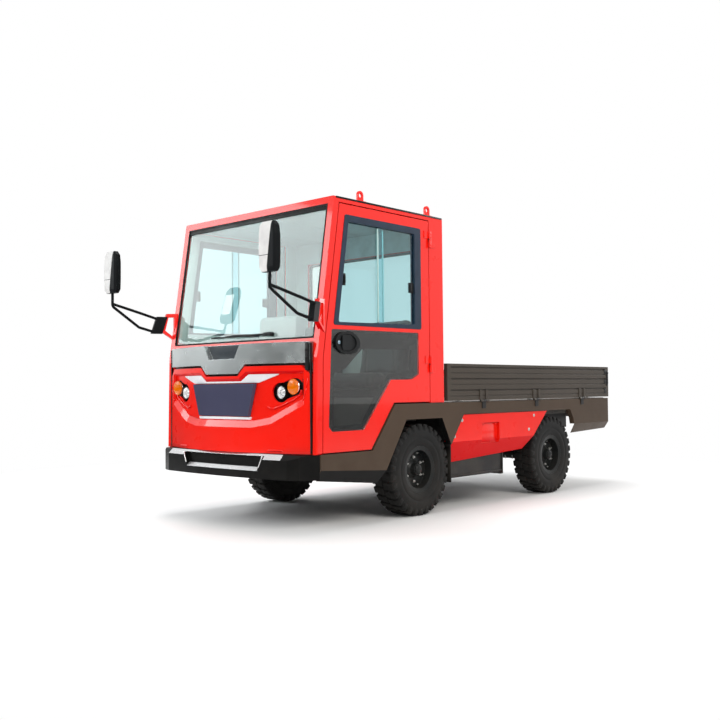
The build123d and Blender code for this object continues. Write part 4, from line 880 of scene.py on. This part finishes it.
wiper_piece = set_piece("wiper_arm_and_blade", wiper, black_plastic, "chassis")
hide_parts("wiper")

# Windscreen and rear window
# Flat laminated panes with a faint green tint, held in black rubber. The top seal is the widest, and a
# grey headlining and a rear trim board close the cab inside.


def seal_ring(shape, corners, width, depth):
    """A rubber ring: an outline inset to a band and pushed out to a thickness."""
    face = shape.faces.new([shape.verts.new(point) for point in corners])
    shape.normal_update()
    bmesh.ops.inset_region(shape, faces=[face], use_boundary=True, thickness=width, use_even_offset=True)
    bmesh.ops.delete(shape, geom=[face], context="FACES_ONLY")
    push_out(shape, shape.faces[:], depth)
    sharp = [edge for edge in shape.edges if len(edge.link_faces) == 2 and edge.calc_face_angle(0) > 0.9]
    soften_edges(shape, sharp, 0.0012)


screen_seal = bmesh.new()
screen_corners = [(-0.6585, -0.0272), (0.6585, -0.0272), (0.6585, 0.773), (-0.6585, 0.773)]
screen_outline = [on_screen @ Vector((u, v, 0.0004)) for u, v in screen_corners]
seal_ring(screen_seal, screen_outline, 0.009, off_glass * 0.006)
block(screen_seal, Vector((-0.645, 0.738, 0.0005)), Vector((0.645, 0.762, 0.006)), 0.0015, on_screen)
for side in (-1, 1):
    strip_foot = Vector((side * 0.652, -0.02, 0.004))
    block(screen_seal, strip_foot, Vector((side * 0.6605, 0.77, 0.0105)), 0.0015, on_screen)
set_piece("windscreen_seal", screen_seal, seal_rubber, "chassis")
rear_seal = bmesh.new()
rear_outline = []
for middle_x, middle_z, start in ((-490, 1190, 180), (490, 1190, 270), (490, 1710, 0), (-490, 1710, 90)):
    for step in range(7):
        turn = math.radians(start + 15 * step)
        rear_outline.append(spot(middle_x + 38 * math.cos(turn), 226.5, middle_z + 38 * math.sin(turn)))
seal_ring(rear_seal, rear_outline, 0.016, Vector((0, 0.011, 0)))
set_piece("rear_window_seal", rear_seal, seal_rubber, "chassis")


def glazing(name, tint, low_tint=None, split_z=0.0, clear=1.0):
    """Window glass with a tint, and a smoked tint below a height where one is given."""
    finish, tree = new_finish(name, {"Transmission Weight": clear, "IOR": 1.47})
    place = truck_place(tree)
    smear = remap(tree, cloudy(tree, place, 6.0, 5.0), 0.45, 0.75, 0.0, 0.03)
    below = reckon(tree, "LESS_THAN", axes(tree, place)["Z"], split_z)
    colour = mixed(tree, below, (*tint, 1), (*(low_tint or tint), 1))
    coat(tree, colour, smear)
    pane = tree.nodes["Principled BSDF"].outputs[0]
    shadow = node(tree, "ShaderNodeLightPath").outputs["Is Shadow Ray"]
    through = node(tree, "ShaderNodeBsdfTransparent", {"Color": colour})
    lit = node(tree, "ShaderNodeMixShader", {0: shadow, 1: pane, 2: through.outputs[0]})
    tree.links.new(lit.outputs[0], tree.nodes["Material Output"].inputs["Surface"])
    return finish


screen_glass = glazing("screen_glass", (0.78, 0.88, 0.86), clear=0.93)
dress(screen_glass, "windscreen", "rear_window")
lining_cloth = moulded("lining_cloth", (0.6, 0.68, 0.67), size=420.0, relief=0.3, dust=0.0)
lining = bmesh.new()
block(lining, spot(-657, -735, 1903), spot(657, 198, 1915), 0.004)
for rib_x in (-440, 0, 440):
    block(lining, spot(rib_x - 45, -700, 1899), spot(rib_x + 45, 160, 1905), 0.003)
block(lining, spot(-656, 193, 775), spot(656, 202, 1149), 0.003)
block(lining, spot(-656, 193, 1751), spot(656, 202, 1912), 0.003)
for side in (-1, 1):
    block(lining, spot(side * 531, 193, 1140), spot(side * 656, 202, 1760), 0.003)
    block(lining, spot(side * 645, 94, 780), spot(side * 656, 198, 1910), 0.003)
    block(lining, spot(side * 645, -735, 1894), spot(side * 656, 110, 1910), 0.003)
    block(lining, Vector((side * 0.644, 0.0, -0.075)), Vector((side * 0.652, 0.76, -0.012)), 0.003, on_screen)
set_piece("cab_lining", lining, lining_cloth, "chassis")

# Doors
# Welded red shells hung at their rear edge and lined with pale board inside, each with two sliding panes in a
# dark frame and a smoked lower pane with a black printed border. A lock sits beside the paddle handle.
dress(red_paint, "door_left_shell", "door_right_shell")
frame_plastic = moulded("frame_plastic", (0.02, 0.032, 0.055), size=900.0, relief=0.12)
dress(frame_plastic, "door_left_window_frame", "door_right_window_frame")
dress(black_plastic, "door_left_handle", "door_right_handle")
door_glass = glazing("door_glass", (0.58, 0.83, 0.88), (0.62, 0.63, 0.61), 1.18)
dress(door_glass, "door_left_glass", "door_right_glass")
print_black = painted("print_black", (0.006, 0.006, 0.008), 0.25, shine=0.12, dust=0.0, rub_and_highlight=0.0)
lock_steel = painted("lock_steel", (0.3, 0.42, 0.5), 0.2, metal=0.9, dust=0.0, rub_and_highlight=0.0)
edge_glass = painted("edge_glass", (0.42, 0.6, 0.58), 0.18, dust=0.0, rub_and_highlight=0.0)
# lower pane's outlines: along, height
pane_edge = (
    (-816, 1159), (-26, 1166), (-26, 909), (-96, 879), (-300, 877), (-553, 577), (-820, 577), (-843, 602),
)
clear_edge = (
    (-799, 903), (-781, 915), (-698, 938), (-603, 1016), (-555, 1053), (-85, 1064), (-86, 982), (-111, 934),
    (-312, 904), (-451, 760), (-570, 610), (-803, 601),
)
for side, sign in (("left", 1), ("right", -1)):
    body = f"door_{side}"
    border = bmesh.new()
    rings = []
    for outline in (pane_edge, clear_edge):
        ring = [border.verts.new(spot(sign * 693, y, z)) for y, z in outline]
        rings += [border.edges.new((ring[count - 1], ring[count])) for count in range(len(ring))]
    bmesh.ops.triangle_fill(border, use_beauty=True, edges=rings)
    bmesh.ops.solidify(border, geom=border.faces[:], thickness=0.0012)
    set_piece(f"pane_border_{side}", border, print_black, body)
    bars = bmesh.new()
    block(bars, spot(sign * 688, -402, 1222), spot(sign * 697, -393, 1800), 0.0015)
    block(bars, spot(sign * 679, -349, 1222), spot(sign * 688, -340, 1800), 0.0015)
    set_piece(f"pane_bars_{side}", bars, edge_glass, body)
    catches = bmesh.new()
    block(catches, spot(sign * 686, -712, 1428), spot(sign * 692, -684, 1500), 0.003)
    block(catches, spot(sign * 690, -706, 1440), spot(sign * 703, -694, 1488), 0.003)
    block(catches, spot(sign * 694, -108, 1425), spot(sign * 700, -58, 1490), 0.003)
    block(catches, spot(sign * 698, -100, 1438), spot(sign * 707, -84, 1478), 0.003)
    set_piece(f"pane_catches_{side}", catches, black_plastic, body)
    lock = bmesh.new()
    bar(lock, spot(sign * 708, -772, 1089), spot(sign * 719, -772, 1089), 0.011, 28)
    block(lock, spot(sign * 718, -773, 1082), spot(sign * 719.6, -771, 1096), 0.0004)
    set_piece(f"door_lock_{side}", lock, lock_steel, body)
    pull = bmesh.new()
    block(pull, spot(sign * 640, -640, 1092), spot(sign * 666, -300, 1124), 0.008)
    for end_y in (-625, -315):
        block(pull, spot(sign * 638, end_y - 18, 1086), spot(sign * 666, end_y + 18, 1130), 0.006)
    set_piece(f"door_pull_{side}", pull, black_plastic, body)
    seal = bmesh.new()
    block(seal, spot(sign * 662, -884, 470), spot(sign * 666, -876, 990), 0.0015)
    block(seal, spot(sign * 662, 82, 735), spot(sign * 666, 90, 1900), 0.0015)
    block(seal, spot(sign * 662, -730, 1896), spot(sign * 666, 88, 1904), 0.0015)
    set_piece(f"door_seal_{side}", seal, seal_rubber, body)
    trim = bmesh.new()
    trim_corners = ((screen_y(1891) + 57, 1891), (56, 1891), (56, 1150), (screen_y(1150) + 57, 1150))
    seal_ring(trim, [spot(sign * 664.8, y, z) for y, z in trim_corners], 0.046, Vector((sign * -0.004, 0, 0)))
    block(trim, spot(sign * 661, 50, 760), spot(sign * 665, 80, 1891), 0.001)
    block(trim, spot(sign * 661, -850, 1131), spot(sign * 665, 56, 1154), 0.001)
    set_piece(f"door_trim_{side}", trim, lining_cloth, body)

# Mirrors
# Tall moulded heads on two bent tubes, clamped by a leaning hinge block to a looped red bracket on the
# pillar. Both heads are one pattern: black, with a painted reflection as a slanted pale grey patch to the
# right in front.
mirror_case, tree = new_finish("mirror_case", {"Specular IOR Level": 0.06})
place = truck_place(tree)
case = axes(tree, place)
hand = reckon(tree, "SIGN", case["X"])
inboard = reckon(tree, "MULTIPLY_ADD", hand, -0.754, case["X"])
lean = reckon(tree, "MULTIPLY_ADD", case["Z"], 0.149, -0.2155)
beside = reckon(tree, "LESS_THAN", inboard, lean)
ahead = reckon(tree, "LESS_THAN", case["Y"], -1.912)
above = reckon(tree, "GREATER_THAN", case["Z"], 1.446)
# painted reflection: a pale grey patch on the black case, to the right in front
cap = reckon(tree, "MULTIPLY", reckon(tree, "MULTIPLY", ahead, above), beside)
split_line = reckon(tree, "COMPARE", case["Z"], 1.534, 0.0016)
pale_reflection = reckon(tree, "MULTIPLY", cap, reckon(tree, "SUBTRACT", 1.0, split_line))
skin = pebbled(tree, place, 800.0, mixed(tree, pale_reflection, (0.006, 0.007, 0.008, 1), (0.68, 0.67, 0.66, 1)))
edge = node(tree, "ShaderNodeGroup", {"Width": 0.003}, node_tree=edge_rub_and_highlight).outputs
coat(tree, skin["Colour"], skin["Roughness"], bumpy(tree, 0.12, 0.0005, skin["Height"], edge["Normal"]))
dress(mirror_case, "mirrors")
silvered = painted("silvered_glass", (0.9, 0.92, 0.92), 0.02, metal=1.0, dust=0.0, rub_and_highlight=0.0, dimple=0.0)
dress(silvered, "mirror_glasses")

# Dashboard and controls
# A moulded black dash across the bulkhead with a pale instrument pod in front of the driver, a column with
# the steering wheel, two hanging pedals, a direction lever and a hand-brake beside the seat.
dash_plastic, tree = new_finish("dash_plastic", {})
place = truck_place(tree)
pod = reckon(tree, "GREATER_THAN", axes(tree, place)["Z"], 1.0885)
skin = pebbled(tree, place, 420.0, mixed(tree, pod, (0.03, 0.031, 0.033, 1), (0.4, 0.42, 0.42, 1)))
edge = node(tree, "ShaderNodeGroup", {"Width": 0.004}, node_tree=edge_rub_and_highlight).outputs
coat(tree, skin["Colour"], skin["Roughness"], bumpy(tree, 0.3, 0.0006, skin["Height"], edge["Normal"]))
dress(dash_plastic, "dashboard")
dress(black_plastic, "steering_wheel")

pod_tilt = math.atan2(45, 184)
on_pod = Matrix.Translation(spot(266, -768, 1132)) @ Matrix.Rotation(-pod_tilt, 4, "X")
gauges = bmesh.new()
block(gauges, Vector((-0.135, -0.004, -0.062)), Vector((0.135, 0.004, 0.082)), 0.006, on_pod)
for dial_x in (-0.075, 0.075):
    dial = on_pod @ Vector((dial_x, 0.003, 0.018))
    bar(gauges, dial, dial + on_pod.to_3x3() @ Vector((0, 0.006, 0)), 0.046, 40)
block(gauges, Vector((-0.022, 0.003, -0.02)), Vector((0.022, 0.008, 0.05)), 0.002, on_pod)
set_piece("gauge_panel", gauges, gloss_black, "chassis")
gauge_rings = bmesh.new()
for dial_x in (-0.075, 0.075):
    dial = on_pod @ Vector((dial_x, 0.009, 0.018))
    facing = on_pod.to_3x3() @ Vector((0, 1, 0))
    sideways = on_pod.to_3x3() @ Vector((0, 0, 1))
    ring = [dial + sideways * 0.043, dial + sideways * 0.045 + facing * 0.003, dial + sideways * 0.048]
    turned(gauge_rings, ring + [dial + sideways * 0.046 - facing * 0.002, ring[0]], dial, facing, 40)
set_piece("gauge_rings", gauge_rings, bright_strip, "chassis")

switches = bmesh.new()
for switch_x in (-90, -50, -10, 30, 70):
    block(switches, spot(switch_x - 13, -755, 986), spot(switch_x + 13, -741, 1030), 0.003)
lever_foot = spot(330, -662, 905)
bar(switches, lever_foot, lever_foot + Vector((-0.15, 0.07, 0.1)), 0.006, 16)
knob_foot = lever_foot + Vector((-0.145, 0.067, 0.097))
bar(switches, knob_foot, lever_foot + Vector((-0.185, 0.087, 0.123)), 0.013, 20)
for pedal_x in (235, 425):
    bar(switches, spot(pedal_x, -868, 880), spot(pedal_x, -800, 560), 0.008, 16)
    block(switches, spot(pedal_x - 34, -812, 520), spot(pedal_x + 34, -792, 600), 0.006)
    for rib_z in (534, 552, 570, 588):
        rib_low = spot(pedal_x - 30, -793, rib_z - 4)
        block(switches, rib_low, spot(pedal_x + 30, -788, rib_z + 4), 0.0015)
bar(switches, spot(0, -250, 758), spot(0, -385, 968), 0.011, 20)
bar(switches, spot(0, -378, 957), spot(0, -440, 1054), 0.017, 24)
block(switches, spot(-40, -300, 759), spot(40, -180, 790), 0.008)
set_piece("controls", switches, black_plastic, "chassis")
mat = bmesh.new()
block(mat, spot(-640, -895, 440), spot(640, -385, 448), 0.003)
for rib in range(24):
    block(mat, spot(-600, -880 + rib * 20, 447), spot(600, -870 + rib * 20, 450.5), 0.001)
set_piece("floor_mat", mat, seal_rubber, "chassis")

# Seats
# Two sewn seats, each a foam cushion and a leaning back in black grained cover cloth, on a steel pan bolted
# to the seat box. The pads are swollen by a short cloth run and pulled in along their welts.
pans = bmesh.new()
block(pans, spot(145, -300, 760), spot(515, 120, 812), 0.006)
block(pans, spot(110, -325, 806), spot(550, 118, 822), 0.004)
back_lean = Matrix.Translation(spot(330, 100, 830)) @ Matrix.Rotation(math.radians(-6.0), 4, "X")
block(pans, Vector((-0.2, 0.026, 0.03)), Vector((0.2, 0.036, 0.43)), 0.004, back_lean)
both_sides(pans)
pans_piece = set_piece("seat_pans", pans, black_paint, "chassis")
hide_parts("seats")

cover, tree = new_finish("seat_cover", {"Sheen Weight": 0.25, "Sheen Roughness": 0.5})
place = truck_place(tree)
hide = node(tree, "ShaderNodeTexVoronoi", {"Vector": place, "Scale": 260.0}, feature="SMOOTH_F1")
crease = cloudy(tree, place, 18.0, 6.0)
tone = mixed(tree, crease, (0.012, 0.013, 0.014, 1), (0.04, 0.042, 0.043, 1))
gloss = remap(tree, crease, 0.3, 0.7, 0.42, 0.6)
coat(tree, tone, gloss, bumpy(tree, 0.35, 0.0008, hide.outputs["Distance"]))


def stuffed(name, shape, cap, welt_rows):
    """Swell a sewn pad: remesh it, inflate it as cloth with a cap on the movement, then pull in its welts."""
    pad = made_object(name, shape)
    bpy.context.view_layer.objects.active = pad
    remesh = pad.modifiers.new("even_skin", "REMESH")
    remesh.mode = "VOXEL"
    remesh.voxel_size = 0.008
    bpy.ops.object.modifier_apply(modifier=remesh.name)
    rest = [vert.co.copy() for vert in pad.data.vertices]
    swell = pad.modifiers.new("swell", "CLOTH")
    swell.settings.quality = 4
    swell.settings.mass = 0.3
    swell.settings.use_pressure = True
    swell.settings.uniform_pressure_force = 4.0
    swell.settings.tension_stiffness = 12
    swell.settings.effector_weights.gravity = 0
    for count in range(1, 21):
        scene.frame_set(count)
    shaped = pad.evaluated_get(bpy.context.evaluated_depsgraph_get())
    places = [vert.co.copy() for vert in shaped.data.vertices]
    pad.modifiers.remove(swell)
    scene.frame_set(1)
    for vert, start, end in zip(pad.data.vertices, rest, places):
        move = end - start
        if move.length > cap:
            move = move.normalized() * cap
        vert.co = start + move
    for point, across, reach, pull in welt_rows:
        for vert in pad.data.vertices:
            gap = abs((vert.co - point).dot(across))
            vert.co += pull * math.exp(-((gap / reach) ** 2))
    return pad


cushion = bmesh.new()
block(cushion, spot(112, -318, 828), spot(548, 30, 904), 0.03)
# welts: a point on the seam, the way across it, its reach, how far it pulls in
cushion_welts = [
    (spot(200, 0, 0), Vector((1, 0, 0)), 0.007, Vector((0, 0, -0.007))),
    (spot(460, 0, 0), Vector((1, 0, 0)), 0.007, Vector((0, 0, -0.007))),
    (spot(0, -215, 0), Vector((0, 1, 0)), 0.007, Vector((0, 0, -0.005))),
]
seat_cushion = stuffed("seat_cushion_left", cushion, 0.016, cushion_welts)
back = bmesh.new()
lean_back = Matrix.Translation(spot(330, 70, 850)) @ Matrix.Rotation(math.radians(-7.0), 4, "X")
block(back, Vector((-0.212, -0.05, 0.03)), Vector((0.212, 0.024, 0.435)), 0.028, lean_back)
back_facing = lean_back.to_3x3() @ Vector((0, 1, 0))
back_up = lean_back.to_3x3() @ Vector((0, 0, 1))
back_welts = [
    (spot(205, 0, 0), Vector((1, 0, 0)), 0.007, back_facing * 0.007),
    (spot(455, 0, 0), Vector((1, 0, 0)), 0.007, back_facing * 0.007),
    (lean_back @ Vector((0, 0, 0.33)), back_up, 0.007, back_facing * 0.005),
]
seat_back = stuffed("seat_back_left", back, 0.014, back_welts)
for pad in (seat_cushion, seat_back):
    pad.data.materials.append(cover)
    pad.data.shade_smooth()
    twin = pad.copy()
    twin.data = pad.data.copy()
    twin.name = pad.name.replace("left", "right")
    scene.collection.objects.link(twin)
    twin.data.transform(Matrix.Diagonal((-1, 1, 1, 1)))
    twin.data.flip_normals()
    for each in (pad, twin):
        each.data.update()
        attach(each, "chassis")
        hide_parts("seats")
        smoother = each.modifiers.new("even_cover", "SUBSURF")
        smoother.levels = 1
        smoother.render_levels = 1

# Load bed
# A steel deck on cross bearers with a headboard, two dropsides and a tailgate, all folded sheet in the dark
# grey-brown spray. The boards hang on pinned hinges, with lever latches and black end caps at the rear.
deck_steel = painted("deck_steel", (0.11, 0.105, 0.1), 0.4, dust=0.5, rub_and_highlight=0.3, top=2.0)
tree = deck_steel.node_tree
shader = tree.nodes["Principled BSDF"]
tread_turn = node(
    tree,
    "ShaderNodeMapping",
    {"Vector": truck_place(tree), "Rotation": (0, 0, math.radians(45)), "Scale": (34, 34, 0)},
)
tread_grid = {"Vector": tread_turn.outputs[0], "Scale": 1.0, "Randomness": 0.0}
tread_cells = node(tree, "ShaderNodeTexVoronoi", tread_grid)
raised = remap(tree, tread_cells.outputs["Distance"], 0.3, 0.16)
deck_skin = shader.inputs["Normal"].links[0].from_socket
tree.links.new(bumpy(tree, 0.8, 0.002, raised, deck_skin), shader.inputs["Normal"])
dress(deck_steel, "bed_deck")
board_paint = painted(
    "board_paint", (0.058, 0.048, 0.039), 0.36, shine=0.14, dust=0.07, rub_and_highlight=0.1, bare_and_highlight=(0.2, 0.18, 0.16)
)
dress(board_paint, "headboard", "dropside_left", "dropside_right", "tailgate")
dress(black_paint, "gate_hinges")
for side, sign in (("left", 1), ("right", -1)):
    latch = bmesh.new()
    block(latch, spot(sign * 713, 2497, 822), spot(sign * 717, 2527, 950), 0.0015)
    block(latch, spot(sign * 716, 2504, 838), spot(sign * 722, 2520, 938), 0.003)
    bar(latch, spot(sign * 715, 2512, 930), spot(sign * 724, 2512, 930), 0.008, 20)
    bar(latch, spot(sign * 715, 2512, 846), spot(sign * 723, 2512, 846), 0.005, 16)
    for cap_low, cap_top in ((918, 958), (839, 876), (760, 799)):
        block(latch, spot(sign * 712, 2458, cap_low), spot(sign * 716, 2496, cap_top), 0.0015)
    set_piece(f"dropside_latches_{side}", latch, black_paint, f"dropside_{side}")
tail_latch = bmesh.new()
for latch_x in (-640, 640):
    block(tail_latch, spot(latch_x - 16, 2530, 830), spot(latch_x + 16, 2534, 940), 0.0015)
    bar(tail_latch, spot(latch_x, 2532, 900), spot(latch_x, 2541, 900), 0.009, 20)
    block(tail_latch, spot(latch_x - 7, 2533, 842), spot(latch_x + 7, 2539, 915), 0.0025)
set_piece("tailgate_latches", tail_latch, black_paint, "tailgate")
lash_rings = bmesh.new()
for ring_y in (480, 1380, 2280):
    block(lash_rings, spot(618, ring_y - 26, 723), spot(668, ring_y + 26, 727), 0.001)
    bar(lash_rings, spot(643, ring_y - 22, 730), spot(643, ring_y + 22, 730), 0.005, 14)
    for end_y in (-20, 20):
        bar(lash_rings, spot(643, ring_y + end_y, 725), spot(643, ring_y + end_y, 731), 0.005, 14)
both_sides(lash_rings)
set_piece("lashing_rings", lash_rings, zinc, "chassis")

# Rear end
# Moulded red lamp glasses with an amber band, in black cases on the rear beam, and a towing jaw bolted to the
# last cross member and closed by a loose pin.
red_lens = lens_finish("red_lens", (0.8, 0.012, 0.01), 0.6)
dress(red_lens, "tail_lamps")
tail_case = bmesh.new()
for low_x, high_x in ((521, 526), (654, 659)):
    block(tail_case, spot(low_x, 2520, 586), spot(high_x, 2537, 664), 0.0015)
for low_z, high_z in ((584, 589), (661, 666)):
    block(tail_case, spot(521, 2520, low_z), spot(659, 2537, high_z), 0.0015)
for rib_x in (566, 611):
    block(tail_case, spot(rib_x - 1.5, 2533, 589), spot(rib_x + 1.5, 2537, 661), 0.0005)
both_sides(tail_case)
set_piece("tail_lamp_cases", tail_case, black_plastic, "chassis")
amber_band = bmesh.new()
block(amber_band, spot(612.5, 2534, 592), spot(652, 2536.5, 658), 0.001)
both_sides(amber_band)
set_piece("tail_indicator_glass", amber_band, amber_lens, "chassis")
jaw_bolts = bmesh.new()
for bolt_x in (-44, 44):
    for bolt_z in (395, 545):
        bar(jaw_bolts, spot(bolt_x, 2450, bolt_z), spot(bolt_x, 2462, bolt_z), 0.011, 6)
        bar(jaw_bolts, spot(bolt_x, 2450, bolt_z), spot(bolt_x, 2467, bolt_z), 0.006, 14)
bar(jaw_bolts, spot(0, 2496, 375), spot(0, 2496, 486), 0.0135, 28)
bar(jaw_bolts, spot(0, 2496, 480), spot(0, 2496, 500), 0.02, 28)
set_piece("jaw_pin_and_bolts", jaw_bolts, zinc, "chassis")
